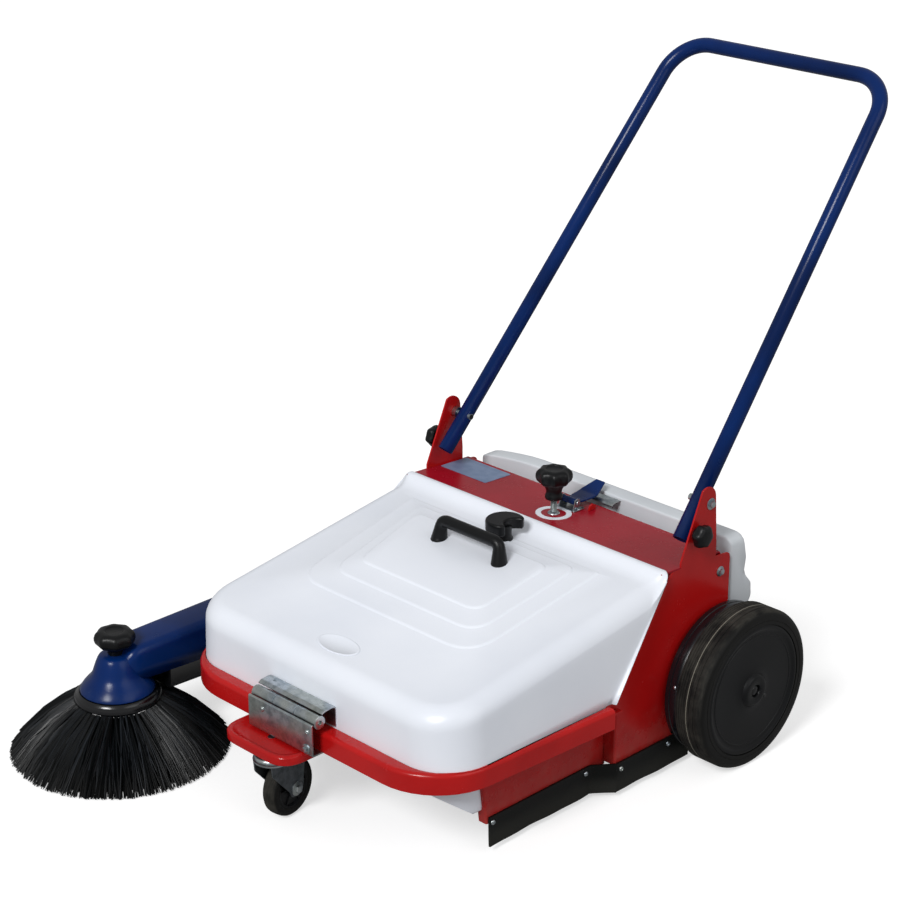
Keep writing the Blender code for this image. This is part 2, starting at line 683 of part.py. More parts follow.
def skirts(side, name, chassis):
    """The red panel under the band, and the rubber strip that seals it to the floor."""
    rear = PLATE_FRONT_Y - FIT
    top, out = LEDGE_Z - SHEET - FIT, RING_X - 0.022
    shelf = [
        (SKIRT_X, SKIRT_LOW_Z), (SKIRT_X, top - SHEET), (out, top - SHEET), (out, top), (SKIRT_X - SHEET, top),
        (SKIRT_X - SHEET, SKIRT_LOW_Z),
    ]
    shelf = [(side * x, z) for x, z in shelf]
    panel = piece(f"skirt_panel_{name}", prism(shelf, "Y", SKIRT_FRONT_Y, rear), "red_paint", chassis)
    slope = [(SKIRT_FRONT_Y - 0.02, 0.02), (SKIRT_FRONT_Y + 0.012, 0.02), (SKIRT_FRONT_Y + 0.009, SKIRT_LOW_Z)]
    slope += [(SKIRT_FRONT_Y - 0.004, RING_LOW_Z + 0.01), (SKIRT_FRONT_Y - 0.02, RING_LOW_Z + 0.01)]
    cut(panel, prism(slope, "X", min(0, side * RING_X), max(0, side * RING_X)))
    line = [
        (SKIRT_X + FIT, SKIRT_FRONT_Y + 0.012), (SKIRT_X + FIT, RUBBER_JOG_Y),
        (PLATE_X + FIT, RUBBER_JOG_Y + 0.030), (PLATE_X + FIT, RUBBER_REAR_Y),
    ]
    outline = [(side * x, y) for x, y in strip(line[::-1], SHEET)]
    rubber = prism(outline, "Z", RUBBER_LOW_Z, RUBBER_TOP_Z)
    piece(f"skirt_rubber_{name}", rubber, "skirt_rubber", chassis)


def rear_wall(chassis):
    """The cross wall behind the brush, and the rubber flap on it."""
    half = PLATE_X - SHEET - FIT
    line = [(WALL_Y, PLATE_LOW_Z), (WALL_Y, WALL_TOP_Z)]
    wall = piece("rear_wall", prism(strip(line, SHEET), "X", -half, half), "red_paint", chassis)
    cut(wall, *shaft_rooms())
    flap = [(WALL_Y + FIT, RUBBER_LOW_Z), (WALL_Y + FIT + SHEET, RUBBER_LOW_Z)]
    flap += [(WALL_Y + FIT + SHEET, PLATE_LOW_Z + 0.022), (WALL_Y + FIT, PLATE_LOW_Z + 0.022)]
    reach = half - 0.002
    piece("rear_flap", prism(flap, "X", -reach, GEAR_X - 0.006), "skirt_rubber", chassis)


def brush_hood(chassis):
    """The curved sheet over the main brush that guides what it throws into the hopper."""
    radius = BRUSH_R + HOOD_CLEAR
    line = arc((BRUSH_Y, BRUSH_Z), radius, 12, 118, 12)
    half = PLATE_X - SHEET - FIT
    hood = piece("brush_hood", prism(strip(line[::-1], HOOD_SHEET), "X", -half, half), "red_paint", chassis)
    cut(hood, *shaft_rooms())


def shaft_rooms():
    """Cutters that clear the left wheel's gear and the end of the right wheel's shaft."""
    gear_room = MODULE * (GEAR_TEETH / 2 + 1) + 0.002
    gear = rod(gear_room, "X", (0, WHEEL_Y, WHEEL_Z), AXLE_IN_X - 0.003, RING_X, 32)
    shaft = rod(BEARING_R + 0.008, "X", (0, WHEEL_Y, WHEEL_Z), -RING_X, -PLATE_X + 0.020, 24)
    return gear, shaft


def bearings(chassis):
    """Flanged bushes in the side plates, in which the wheels' shafts run."""
    flange = PLATE_X - SHEET - FIT
    out = PLATE_X
    bore = AXLE_R + FIT
    rim = BEARING_R + 0.004
    for side, name in ((1, "left"), (-1, "right")):
        profile = [(bore, flange - 0.004), (rim, flange - 0.004), (rim, flange), (BEARING_R, flange)]
        profile += [(BEARING_R, out), (bore, out)]
        profile = [(r, side * h) for r, h in profile]
        bush = turned(profile, "X", (0, WHEEL_Y, WHEEL_Z), 16, ring=True)
        piece(f"axle_bearing_{name}", bush, "nylon", chassis)


def tyre_profile(side):
    """A tyre's section: a flat tread with rounded shoulders."""
    out, back, r = WHEEL_OUT_X - 0.004, TYRE_IN_X, WHEEL_R
    inner = r - TYRE_DEPTH
    points = [
        (inner, back), (r - 0.006, back), (r, back + 0.006), (r, out - 0.010),
        (r - 0.003, out - 0.003), (r - 0.009, out), (inner, out),
    ]
    return [(radius, side * x) for radius, x in points]


def wheel(side, name, carrier):
    """A solid rubber tyre on a moulded hub, which its shaft turns with."""
    centre = (0, WHEEL_Y, WHEEL_Z)
    tyre = turned(tyre_profile(side), "X", centre, WHEEL_STEPS, ring=True, flat=True)
    piece(f"tyre_{name}", tyre, "tyre_rubber", carrier)
    seat = WHEEL_R - TYRE_DEPTH - FIT
    face = WHEEL_OUT_X - 0.007
    drum_r = DRUM_R if side > 0 else seat
    drum_in = PLATE_X + 0.004 if side > 0 else TYRE_IN_X
    bore = AXLE_R + FIT
    shaft_end = face - 0.006
    profile = [
        (0, shaft_end + FIT), (bore, shaft_end + FIT), (bore, drum_in), (drum_r, drum_in), (drum_r, TYRE_IN_X),
        (seat, TYRE_IN_X), (seat, face + 0.002), (seat - 0.012, face + 0.002), (seat - 0.016, face),
        (0.026, face), (0.022, WHEEL_OUT_X), (0.011, WHEEL_OUT_X), (0.008, WHEEL_OUT_X - 0.005),
        (0, WHEEL_OUT_X - 0.005),
    ]
    profile = [(r, side * x) for r, x in dict.fromkeys(profile)]
    piece(f"hub_{name}", turned(profile, "X", centre, 24), "black_plastic", carrier)
    collar = PLATE_X - SHEET - 0.0048
    if side > 0:
        shaft = [(0, AXLE_IN_X), (AXLE_R, AXLE_IN_X), (AXLE_R, shaft_end), (0, shaft_end)]
    else:
        shaft = [(0, collar - 0.009), (0.016, collar - 0.009), (0.016, collar), (AXLE_R, collar)]
        shaft += [(AXLE_R, shaft_end), (0, shaft_end)]
    shaft = [(r, side * x) for r, x in shaft]
    piece(f"axle_{name}", turned(shaft, "X", centre, 16), "steel", carrier)


def drive_gear(carrier):
    """The gear on the left wheel's shaft that turns the main brush."""
    towards = math.atan2(BRUSH_Z - WHEEL_Z, BRUSH_Y - WHEEL_Y)
    outline = involute_outline(GEAR_TEETH, (WHEEL_Y, WHEEL_Z), towards, 0.0004)
    gear = piece("drive_gear", prism(outline, "X", GEAR_X, GEAR_X + GEAR_WIDTH), "nylon", carrier)
    cut(gear, rod(AXLE_R + FIT, "X", (0, WHEEL_Y, WHEEL_Z), GEAR_X - 0.01, GEAR_X + GEAR_WIDTH + 0.01))


def drive_pulley(carrier):
    """The pulley on the right wheel's shaft that drives the side brush."""
    bore = AXLE_R + FIT
    profile = [(bore, REAR_BELT_X - NARROW), *groove(DRIVE_R, REAR_BELT_X, NARROW), (bore, REAR_BELT_X + NARROW)]
    piece("drive_pulley", turned(profile, "X", (0, WHEEL_Y, WHEEL_Z), 20, ring=True), "nylon", carrier)


def main_brush(carrier):
    """The long brush: shaft, pinion, core with its end discs, and the sleeve with its tufts."""
    centre = (0, BRUSH_Y, BRUSH_Z)
    end = PLATE_X - FIT
    piece("brush_shaft", rod(SHAFT_R, "X", centre, -end, end, 20), "steel", carrier)
    back = math.atan2(WHEEL_Z - BRUSH_Z, WHEEL_Y - BRUSH_Y)
    outline = involute_outline(PINION_TEETH, (BRUSH_Y, BRUSH_Z), back + math.pi / PINION_TEETH, 0.0004)
    pinion = piece("brush_pinion", prism(outline, "X", GEAR_X, GEAR_X + GEAR_WIDTH), "nylon", carrier)
    cut(pinion, rod(SHAFT_R + FIT, "X", centre, GEAR_X - 0.01, GEAR_X + GEAR_WIDTH + 0.01, 20))
    core_r, disc_r = BRUSH_CORE_R - FIT, BRUSH_BACK_R + 0.0075
    inner, outer = BRUSH_HALF + FIT, BRUSH_HALF + 0.004
    spool = [(SHAFT_R + FIT, -outer), (disc_r, -outer), (disc_r, -inner), (core_r, -inner)]
    spool += [(core_r, inner), (disc_r, inner), (disc_r, outer), (SHAFT_R + FIT, outer)]
    core = turned(spool, "X", centre, TUFTS_AROUND, ring=True)
    piece("brush_core", core, "black_plastic", carrier)
    sleeve = turned(
        [(BRUSH_CORE_R, -BRUSH_HALF), (BRUSH_CORE_R, BRUSH_HALF)]
        + [(BRUSH_BACK_R, BRUSH_HALF - 2 * BRUSH_HALF * i / TUFTS_ALONG) for i in range(TUFTS_ALONG + 1)],
        "X", centre, TUFTS_AROUND, ring=True,
    )
    grow_tufts(sleeve, Vector(centre))
    piece("brush_bristles", sleeve, "bristle", carrier)


def grow_tufts(sleeve, centre):
    """Every second face of the sleeve, as on a chequerboard, becomes a tuft that stands out to the brush's radius."""
    chosen = []
    for face in sleeve.faces:
        middle = face.calc_center_median() - centre
        reach = math.hypot(middle.y, middle.z)
        if reach < BRUSH_CORE_R * 1.03 or abs(face.normal.x) > 0.5:
            continue
        along = int((middle.x + BRUSH_HALF) / (2 * BRUSH_HALF) * TUFTS_ALONG)
        around = int((math.atan2(middle.z, middle.y) % math.tau) / math.tau * TUFTS_AROUND)
        if (along + around) % 2 == 0:
            chosen.append(face)
    drawn = bmesh.ops.extrude_discrete_faces(sleeve, faces=chosen)["faces"]
    for face in drawn:
        middle = face.calc_center_median()
        out = Vector((0, middle.y - centre.y, middle.z - centre.z))
        outward = out.normalized()
        for corner in face.verts:
            offset = corner.co - middle
            lean = BRUSH_R - 0.0006 - out.length
            corner.co = middle + Vector((offset.x * 0.3, offset.y, offset.z)) + outward * lean
    bmesh.ops.recalc_face_normals(sleeve, faces=sleeve.faces)


def tank_outline(grow=0.0):
    """The rear tank's section in y and z: an upright hump over a fuller lower lobe."""
    top, front = TANK_TOP_Z, TANK_FRONT_Y
    return [
        (front + grow, DRAWER_LOW_Z + grow), (front + 0.030, 0.2010 + grow), (front + 0.0505 - grow, 0.2020 + grow),
        (front + 0.0625 - grow, 0.2160), (front + 0.0620 - grow, 0.2380), (front + 0.0500 - grow, 0.2560),
        (front + 0.0450 - grow, 0.2720), (front + 0.0440 - grow, 0.3000), (front + 0.0340 - grow, top - 0.012),
        (front + 0.0220 - grow, top - grow), (front + grow, top - grow),
    ]


def dust_drawer(drawer):
    """The white dust drawer: a tray under the deck, and a full-width tank behind the machine."""
    tank = prism(tank_outline(), "X", -TANK_X, TANK_X)
    ends = [edge for edge in tank.edges if abs(abs(sum(v.co.x for v in edge.verts)) / 2 - TANK_X) < 1e-6]
    bmesh.ops.bevel(tank, geom=ends, offset=0.008, segments=2, profile=0.5, affect="EDGES", material=-1)
    body = piece("dust_drawer", tank, "white_plastic", drawer)
    tray_rear = TANK_FRONT_Y + 0.012
    join(body, box((-DRAWER_X, DRAWER_FRONT_Y, DRAWER_LOW_Z), (DRAWER_X, tray_rear, DRAWER_TOP_Z)))
    wall = TANK_WALL
    inside = prism(tank_outline(wall + 0.001), "X", -TANK_X + 0.012, TANK_X - 0.012)
    cut(body, inside)
    hollow_x = DRAWER_X - wall
    tray = box((-hollow_x, DRAWER_FRONT_Y + wall, DRAWER_LOW_Z + wall), (hollow_x, tray_rear + 0.01, DRAWER_TOP_Z - 0.004))
    mouth = box((-hollow_x, DRAWER_FRONT_Y + wall, DRAWER_TOP_Z - 0.02), (hollow_x, TANK_FRONT_Y - 0.028, DRAWER_TOP_Z + 0.02))
    cut(body, tray, mouth)


def drawer_runners(chassis):
    """Angle strips on the side plates on which the drawer slides."""
    for side, name in ((1, "left"), (-1, "right")):
        out = PLATE_X - SHEET - FIT
        inner = DRAWER_X - 0.012
        low = DRAWER_LOW_Z - FIT
        outline = [
            (out, low + 0.020), (out - 0.002, low + 0.020), (out - 0.002, low), (inner, low),
            (inner, low - 0.002), (out, low - 0.002),
        ]
        outline = [(side * x, z) for x, z in outline]
        runner = prism(outline, "Y", 0.012, PLATE_REAR_Y - 0.006)
        piece(f"drawer_runner_{name}", runner, "zinc", chassis)


def hood_block(inset):
    """The hopper cover's form as a closed block: rounded front corners, sloping top and one large edge radius."""
    rear = PLATE_TOP_Y + 0.05
    radius = HOOD_EDGE_R - inset
    low = HOOD_LOW_Z - (0.02 if inset else 0)
    block = bmesh.new()
    rows = [[block.verts.new((x, y, low)) for x, y in hood_plan(inset, rear)]]
    for angle in np.linspace(0, math.pi / 2, HOOD_EDGE_STEPS + 1):
        side, drop = radius * (1 - math.cos(angle)), radius * (1 - math.sin(angle))
        row = []
        for x, y in hood_plan(inset + side, rear):
            z = hood_z(y) - inset - drop
            row.append(block.verts.new((x * (1 - HOOD_DRAFT * (z - RING_TOP_Z)), y, z)))
        rows.append(row)
    count = len(rows[0])
    for lower, upper in zip(rows, rows[1:]):
        for i in range(count - 1):
            block.faces.new((lower[i], lower[i + 1], upper[i + 1], upper[i]))
    for row in (rows[0], rows[-1]):
        for i in range(count // 2 - 1):
            block.faces.new((row[i], row[i + 1], row[count - 2 - i], row[count - 1 - i]))
    block.faces.new([row[0] for row in rows] + [row[-1] for row in reversed(rows)])
    bmesh.ops.recalc_face_normals(block, faces=block.faces)
    return block


def mouth_y(z):
    """The y of the cover's slanted mouth, which runs along the side plates' slanted edges."""
    return MOUTH_TOP_Y + MOUTH_LEAN * (z - LIP_Z)


def mouth_flare(side):
    """The flared rim at one side of the cover's mouth, a wedge that widens to the rear."""
    flare = bmesh.new()
    rows = []
    for z, out in ((RING_TOP_Z + 0.0008, MOUTH_LOW_X), (LIP_Z - 0.001, MOUTH_TOP_X)):
        rear = mouth_y(z)
        plan = [(out - 0.022, rear), (out - 0.022, rear - 0.010), (out - 0.0125, rear - MOUTH_DEPTH)]
        plan += [(out, rear - 0.003), (out, rear)]
        rows.append([flare.verts.new((side * x, y, z)) for x, y in plan])
    count = len(rows[0])
    for i in range(count):
        j = (i + 1) % count
        flare.faces.new((rows[0][i], rows[0][j], rows[1][j], rows[1][i]))
    flare.faces.new(rows[0])
    flare.faces.new(rows[1])
    bmesh.ops.recalc_face_normals(flare, faces=flare.faces)
    return flare


def top_lip():
    """The raised lip along the cover's rear edge, with its ramp down to the sloping top."""
    start = -0.0315
    sole = DECK_FRONT_Z + FIT
    outline = [
        (start, hood_z(start) - 0.004), (start, hood_z(start) + 0.0001), (MOUTH_TOP_Y - 0.010, LIP_Z),
        (MOUTH_TOP_Y, LIP_Z), (MOUTH_TOP_Y, sole), (DECK_FRONT_Y - FIT, sole),
        (DECK_FRONT_Y - FIT - 0.003, hood_z(start) - 0.004),
    ]
    return prism(outline, "X", -MOUTH_TOP_X, MOUTH_TOP_X)


def hopper_cover(hopper):
    """The white cover of the hopper, a thin moulding open to the rear and below."""
    cover = piece("hopper_cover", hood_block(0.0), "white_plastic", hopper)
    top_end = DECK_FRONT_Y - 0.004
    bend_z = LIP_Z + (top_end - MOUTH_TOP_Y) / MOUTH_LEAN
    foot = RING_TOP_Z + 0.0004
    high, far = LIP_Z + 0.07, PLATE_TOP_Y + 0.15
    behind = [(RING_REAR_Y - FIT, LEDGE_Z - 0.05), (RING_REAR_Y - FIT, foot), (mouth_y(foot), foot)]
    behind += [(top_end, bend_z), (top_end, high), (far, high), (far, LEDGE_Z - 0.05)]
    cut(cover, prism(behind, "X", -RING_X - 0.03, RING_X + 0.03))
    join(cover, mouth_flare(1), mouth_flare(-1), top_lip())
    beside = PLATE_X + 0.0006
    deck_room = box((-beside, DECK_FRONT_Y - FIT, RING_TOP_Z + 0.03), (beside, DECK_REAR_Y, DECK_FRONT_Z + FIT))
    cut(cover, deck_room, hood_block(WALL))
    cut(cover, box((-RING_X - 0.03, HOOD_FRONT_Y - 0.05, LEDGE_Z - 0.05), (RING_X + 0.03, far, HOOD_LOW_Z)))
    cut(cover, rod(0.008 + FIT, "Z", (0, LATCH_Y, 0), CAM_Z - 0.02, LIP_Z + 0.02, 20))


def hopper_tub(hopper):
    """The white tub under the cover, with a scoop-shaped nose and a rim that rests on the frame's ledge."""
    rear = TUB_REAR_Y
    top = HOOD_LOW_Z - FIT
    tub = prism(splayed(TUB_X, 0, TUB_FRONT_Y, rear, TUB_CORNER_R, 6), "Z", TUB_LOW_Z, top)
    tub = piece("hopper_tub", tub, "white_plastic", hopper)
    nose = [(TUB_FRONT_Y - 0.02, TUB_NOSE_Z + 0.0147), (TUB_NOSE_Y, TUB_LOW_Z), (TUB_NOSE_Y, 0.04), (-0.5, 0.04)]
    cut(tub, prism(nose, "X", -RING_X, RING_X))
    join(tub, prism(hood_plan(0, RING_REAR_Y - FIT), "Z", top - SHEET, top))
    hollow = prism(splayed(TUB_X - WALL, 0, TUB_FRONT_Y + WALL, rear - WALL, TUB_CORNER_R - WALL, 6), "Z",
                   TUB_LOW_Z + WALL, HOOD_LOW_Z + 0.01)
    hollow = nosed(hollow)
    cut(tub, hollow)
    cut(tub, box((-TUB_X + WALL, rear - 0.02, TUB_LIP_Z), (TUB_X - WALL, rear + 0.02, HOOD_LOW_Z + 0.01)))


def nosed(hollow):
    """The tub's hollow with its nose cut off along the outer nose, one wall inside it."""
    run = Vector((0, TUB_NOSE_Y - TUB_FRONT_Y + 0.02, TUB_LOW_Z - TUB_NOSE_Z - 0.0147))
    normal = Vector((0, run.z, -run.y)).normalized()
    place = Vector((0, TUB_NOSE_Y, TUB_LOW_Z)) - normal * WALL
    everything = hollow.verts[:] + hollow.edges[:] + hollow.faces[:]
    bmesh.ops.bisect_plane(hollow, geom=everything, plane_co=place, plane_no=normal, clear_outer=True)
    bmesh.ops.contextual_create(hollow, geom=[edge for edge in hollow.edges if edge.is_boundary])
    bmesh.ops.recalc_face_normals(hollow, faces=hollow.faces)
    return hollow


def bow_grip(hopper):
    """The black bow handle on the cover: a round bar on two flared feet."""
    foot_z = hood_z(GRIP_Y) + FIT
    left, right = GRIP_X + GRIP_SPAN / 2, GRIP_X - GRIP_SPAN / 2
    points = [(x, GRIP_Y, z) for x, z in ((left, foot_z + 0.004), (left, GRIP_Z), (right, GRIP_Z), (right, foot_z + 0.004))]
    grip = piece("hopper_grip", tube(rounded(points, 0.014, 3), GRIP_R, 3), "black_plastic", hopper)
    for x in (left, right):
        foot = turned([(0, 0), (0.0130, 0), (0.0120, 0.010), (0, 0.010)], "Z", (0, 0, 0), 16)
        slope = Matrix.Rotation(math.atan(HOOD_SLOPE), 4, "X")
        place = Matrix.Translation((x, GRIP_Y, foot_z))
        bmesh.ops.transform(foot, matrix=place @ slope, verts=foot.verts)
        join(grip, foot)


def latch(carrier):
    """The half-moon latch knob on its stem, with the cam that catches under the keeper."""
    knob_low = LATCH_TOP_Z - 0.014
    moon = arc((0, LATCH_Y), LATCH_R, 150, 390, 12)
    moon += arc((0, LATCH_Y + LATCH_R * 0.78), LATCH_R * 0.62, -12, -168, 5)
    body = piece("hopper_latch", prism(moon, "Z", knob_low, LATCH_TOP_Z), "black_plastic", carrier)
    join(body, rod(0.008, "Z", (0, LATCH_Y, 0), CAM_Z + 0.002, knob_low + 0.006, 20))
    collar_low = hood_z(LATCH_Y) + 0.0022
    join(body, rod(0.011, "Z", (0, LATCH_Y, 0), collar_low, knob_low + 0.002, 20))
    cam = box((-0.009, LATCH_Y - 0.008, CAM_Z), (CAM_LENGTH, LATCH_Y + 0.008, CAM_Z + 0.004))
    join(body, cam)


def latch_keeper(chassis):
    """The bent strip under the deck's front edge that the latch's cam catches."""
    top = deck_z(DECK_FRONT_Y) - SHEET - FIT
    low = CAM_Z + 0.004 + FIT
    outline = [
        (DECK_FRONT_Y + 0.020, deck_z(DECK_FRONT_Y + 0.020) - SHEET - FIT), (DECK_FRONT_Y + 0.002, top),
        (DECK_FRONT_Y + 0.002, low + 0.003), (DECK_FRONT_Y - 0.016, low + 0.003), (DECK_FRONT_Y - 0.016, low),
        (DECK_FRONT_Y + 0.005, low), (DECK_FRONT_Y + 0.005, top - 0.003),
        (DECK_FRONT_Y + 0.020, deck_z(DECK_FRONT_Y + 0.020) - SHEET - 0.003),
    ]
    piece("latch_keeper", prism(outline, "X", -0.015, 0.015), "zinc", chassis)


def hinge(chassis, hopper):
    """The zinc hinge: a lower leaf on the lip with the pin held in its knuckles, and an upper leaf on the cover."""
    third = HINGE_WIDTH / 3
    low, high = HINGE_X - HINGE_WIDTH / 2, HINGE_X + HINGE_WIDTH / 2
    centre = (0, HINGE_Y, HINGE_Z)
    leaf = 0.0025
    base_z = LIP_TOP_Z + FIT
    front_y = HINGE_Y - 0.013
    line = [(HINGE_Y + 0.002, base_z), (front_y, base_z), (front_y, HINGE_Z - 0.004), (HINGE_Y - 0.002, HINGE_Z)]
    lower = piece("hinge_lower_leaf", prism(strip(line[::-1], leaf), "X", low, high), "zinc", chassis)
    for start in (low, high - third + FIT):
        join(lower, rod(KNUCKLE_R, "X", centre, start, start + third - FIT, 12))
    cut(lower, rod(KNUCKLE_R + 0.0008, "X", centre, low + third - FIT, high - third + FIT, 12))
    join(lower, rod(PIN_R, "X", centre, low + third / 2, high - third / 2, 12))
    back = HOOD_FRONT_Y - FIT
    line = [(back - leaf, RING_TOP_Z + 0.004), (back - leaf, HINGE_Z + 0.013), (HINGE_Y + 0.010, HINGE_Z + 0.0075)]
    line += [(HINGE_Y + 0.001, HINGE_Z + 0.0042)]
    upper = piece("hinge_upper_leaf", prism(strip(line, -leaf), "X", low, high), "zinc", hopper)
    join(upper, rod(KNUCKLE_R, "X", centre, low + third, high - third, 12))
    for start in (low - 0.01, high - third):
        stop = start + third + 0.01
        cut(upper, rod(KNUCKLE_R + 0.0008, "X", centre, start, stop, 12))
    cut(upper, rod(PIN_R + FIT, "X", centre, low - 0.02, high + 0.02, 12))


def height_screw(chassis, knob):
    """The star knob over the deck with its threaded rod, and the threaded bush in the deck that it runs in."""
    top = deck_z(KNOB_Y - 0.013) + FIT
    nut_top = deck_z(KNOB_Y + 0.011) - SHEET - FIT
    bore = SCREW_R + FIT
    bush = [(bore, nut_top - 0.009), (0.0100, nut_top - 0.009), (0.0100, nut_top), (SCREW_R + 0.003, nut_top)]
    bush += [(SCREW_R + 0.003, top), (0.013, top), (0.010, top + 0.009), (bore, top + 0.009)]
    piece("screw_bush", turned(bush, "Z", (0, KNOB_Y, 0), 14, ring=True), "zinc", chassis)
    head = star(KNOB_R, 8, 0.0035, (0, KNOB_Y), "Z", KNOB_TOP_Z - 0.024, KNOB_TOP_Z)
    screw = piece("height_knob", head, "black_plastic", knob)
    join(screw, turned(
        [(0, top + 0.012), (0.012, top + 0.012), (0.018, KNOB_TOP_Z - 0.020), (0, KNOB_TOP_Z - 0.020)],
        "Z", (0, KNOB_Y, 0), 20,
    ))
    rod_piece = rod(SCREW_R, "Z", (0, KNOB_Y, 0), nut_top - 0.013, KNOB_TOP_Z - 0.015, 16)
    join(screw, rod_piece)


def clamp_lever(chassis, lever):
    """The flat blue lever that holds the drawer shut, and its bracket on the deck with the pin."""
    base = deck_z(LEVER_PIN_Y) + FIT
    bracket = box((-0.020, LEVER_PIN_Y - 0.012, base + 0.0005), (0.020, LEVER_PIN_Y + 0.012, base + 0.0025))
    bracket = piece("lever_bracket", bracket, "zinc", chassis)
    for side in (-1, 1):
        low, high = sorted((side * 0.0145, side * 0.0165))
        ear = [(LEVER_PIN_Y - 0.009, base + 0.001), (LEVER_PIN_Y + 0.009, base + 0.001)]
        ear += arc((LEVER_PIN_Y, LEVER_PIN_Z), 0.006, 0, 180, 6)
        join(bracket, prism(ear, "X", low, high))
    join(bracket, rod(0.0025, "X", (0, LEVER_PIN_Y, LEVER_PIN_Z), -0.019, 0.019, 12))
    line = [(LEVER_PIN_Y, LEVER_PIN_Z - 0.0015), (LEVER_PIN_Y + 0.018, TANK_TOP_Z + 0.0015)]
    line += [(LEVER_END_Y - 0.028, TANK_TOP_Z + 0.0030), (LEVER_END_Y, LEVER_TIP_Z)]
    strap = piece("clamp_lever", prism(strip(line, 0.003), "X", -LEVER_X, LEVER_X), "blue_paint", lever)
    join(strap, rod(0.0052, "X", (0, LEVER_PIN_Y, LEVER_PIN_Z), -LEVER_X, LEVER_X, 16))
    cut(strap, rod(0.0025 + FIT, "X", (0, LEVER_PIN_Y, LEVER_PIN_Z), -0.03, 0.03, 12))


def arm_block(grow, low_z, front):
    """The side arm's channel form as a closed block, which splays outwards to the dome."""
    rear = PIVOT_Y + 0.036
    half = ARM_HALF - grow
    crest = SIDE_Y + 0.040
    outline = [
        (front, low_z), (rear - grow, low_z), (rear - grow, arm_top(rear) - 0.014 - grow),
        (rear - 0.012 - grow, arm_top(rear) - grow), (crest, ARM_TOP_Z - grow), (front, DOME_TOP_Z - 0.004 - grow),
    ]
    block = prism(outline, "X", -half, half)
    tops = [
        edge for edge in block.edges
        if min(v.co.z for v in edge.verts) > DOME_TOP_Z - 0.012 and abs(edge.verts[0].co.x - edge.verts[1].co.x) < 1e-6
        and abs(edge.verts[0].co.y - edge.verts[1].co.y) > 0.02
    ]
    bmesh.ops.bevel(
        block, geom=tops, offset=0.012 - grow * 0.6, segments=2, profile=0.5, affect="EDGES", material=-1,
        clamp_overlap=True,
    )
    for corner in block.verts:
        corner.co.x += ARM_REAR_X + ARM_SKEW * (corner.co.y - PIVOT_Y)
    return block


def arm_top(y):
    return ARM_TOP_Z + ARM_RISE * (y - SIDE_Y - 0.040)


def side_arm(arm, chassis):
    """The blue arm with its dome, the cover under it, its pivot and the belt inside."""
    housing = piece("arm_housing", arm_block(0.0, ARM_LOW_Z, SIDE_Y + 0.006), "blue_paint", arm)
    dome = [(0, DOME_LOW_Z), (DOME_LOW_R, DOME_LOW_Z), (DOME_LOW_R * 0.88, DOME_LOW_Z + 0.014)]
    dome += [(DOME_TOP_R + 0.005, DOME_TOP_Z - 0.012), (DOME_TOP_R - 0.004, DOME_TOP_Z), (0, DOME_TOP_Z)]
    join(housing, turned(dome, "Z", (SIDE_X, SIDE_Y, 0), 20))
    hollow = arm_block(ARM_WALL, ARM_LOW_Z - 0.02, SIDE_Y + 0.021)
    cut(housing, hollow)
    chamber = [(0, DOME_LOW_Z - 0.01), (0.0525, DOME_LOW_Z - 0.01), (0.0525, DOME_LOW_Z), (0.047, DOME_LOW_Z + 0.014)]
    chamber += [(0.036, 0.1305), (0, 0.1305)]
    cut(housing, turned(chamber, "Z", (SIDE_X, SIDE_Y, 0), 20))
    cut(housing, rod(SIDE_SHAFT_R + FIT, "Z", (SIDE_X, SIDE_Y, 0), 0.12, 0.1452, 14))
    cut(housing, rod(SCREW_R + FIT, "Z", (SIDE_X, SIDE_Y, 0), 0.14, 0.20, 16))
    outer = ARM_REAR_X - ARM_HALF - 0.0018
    inner = ARM_REAR_X + ARM_HALF
    join(housing, rod(0.015, "X", (0, PIVOT_Y, PIVOT_Z), outer, outer + 0.0055, 16))
    cut(housing, rod(PIVOT_R + FIT, "X", (0, PIVOT_Y, PIVOT_Z), outer - 0.02, ARM_REAR_X, 14))
    cut(housing, rod(IDLER_R + 0.0075, "X", (0, PIVOT_Y, PIVOT_Z), ARM_REAR_X, inner + 0.02, 20))
    cover = arm_cover_block()
    piece("arm_cover", cover, "black_plastic", arm)
    head = outer - FIT
    inside = PLATE_X - SHEET - FIT
    shaft = [(0, inside - 0.008), (0.013, inside - 0.008), (0.013, inside), (PIVOT_R, inside), (PIVOT_R, -head)]
    shaft += [(0.013, -head), (0.013, 0.0046 - head), (0.010, 0.006 - head), (0, 0.006 - head)]
    shaft = [(r, -x) for r, x in shaft]
    piece("arm_pivot", turned(shaft, "X", (0, PIVOT_Y, PIVOT_Z), 14), "zinc", chassis)


def arm_cover_block():
    """The shallow black tray that closes the arm's channel from below, round the belt."""
    front, rear = SIDE_Y + 0.070, PIVOT_Y + 0.028
    depth = 0.030
    high = ARM_LOW_Z - FIT
    half = ARM_HALF - 0.001
    outer = [(front, high), (front, high - depth), (rear - 0.16, high - depth + 0.004), (rear, high - 0.006), (rear, high)]
    line = strip([outer[0], outer[1], outer[2], outer[3]], 0.002)
    tray = prism(line, "X", -half, half)
    for corner in tray.verts:
        corner.co.x += ARM_REAR_X + ARM_SKEW * (corner.co.y - PIVOT_Y)
    return tray


def idler(carrier):
    """The double pulley on the arm's pivot: the wheel's belt drives it, and it drives the brush's belt."""
    bore, neck = PIVOT_R + FIT, 0.014
    profile = [(bore, FRONT_BELT_X - WIDE), *groove(IDLER_R, FRONT_BELT_X, WIDE), (neck, FRONT_BELT_X + WIDE)]
    profile += [(neck, REAR_BELT_X - NARROW), *groove(IDLER_R, REAR_BELT_X, NARROW), (bore, REAR_BELT_X + NARROW)]
    piece("idler_pulley", turned(profile, "X", (0, PIVOT_Y, PIVOT_Z), 16, ring=True), "nylon", carrier)


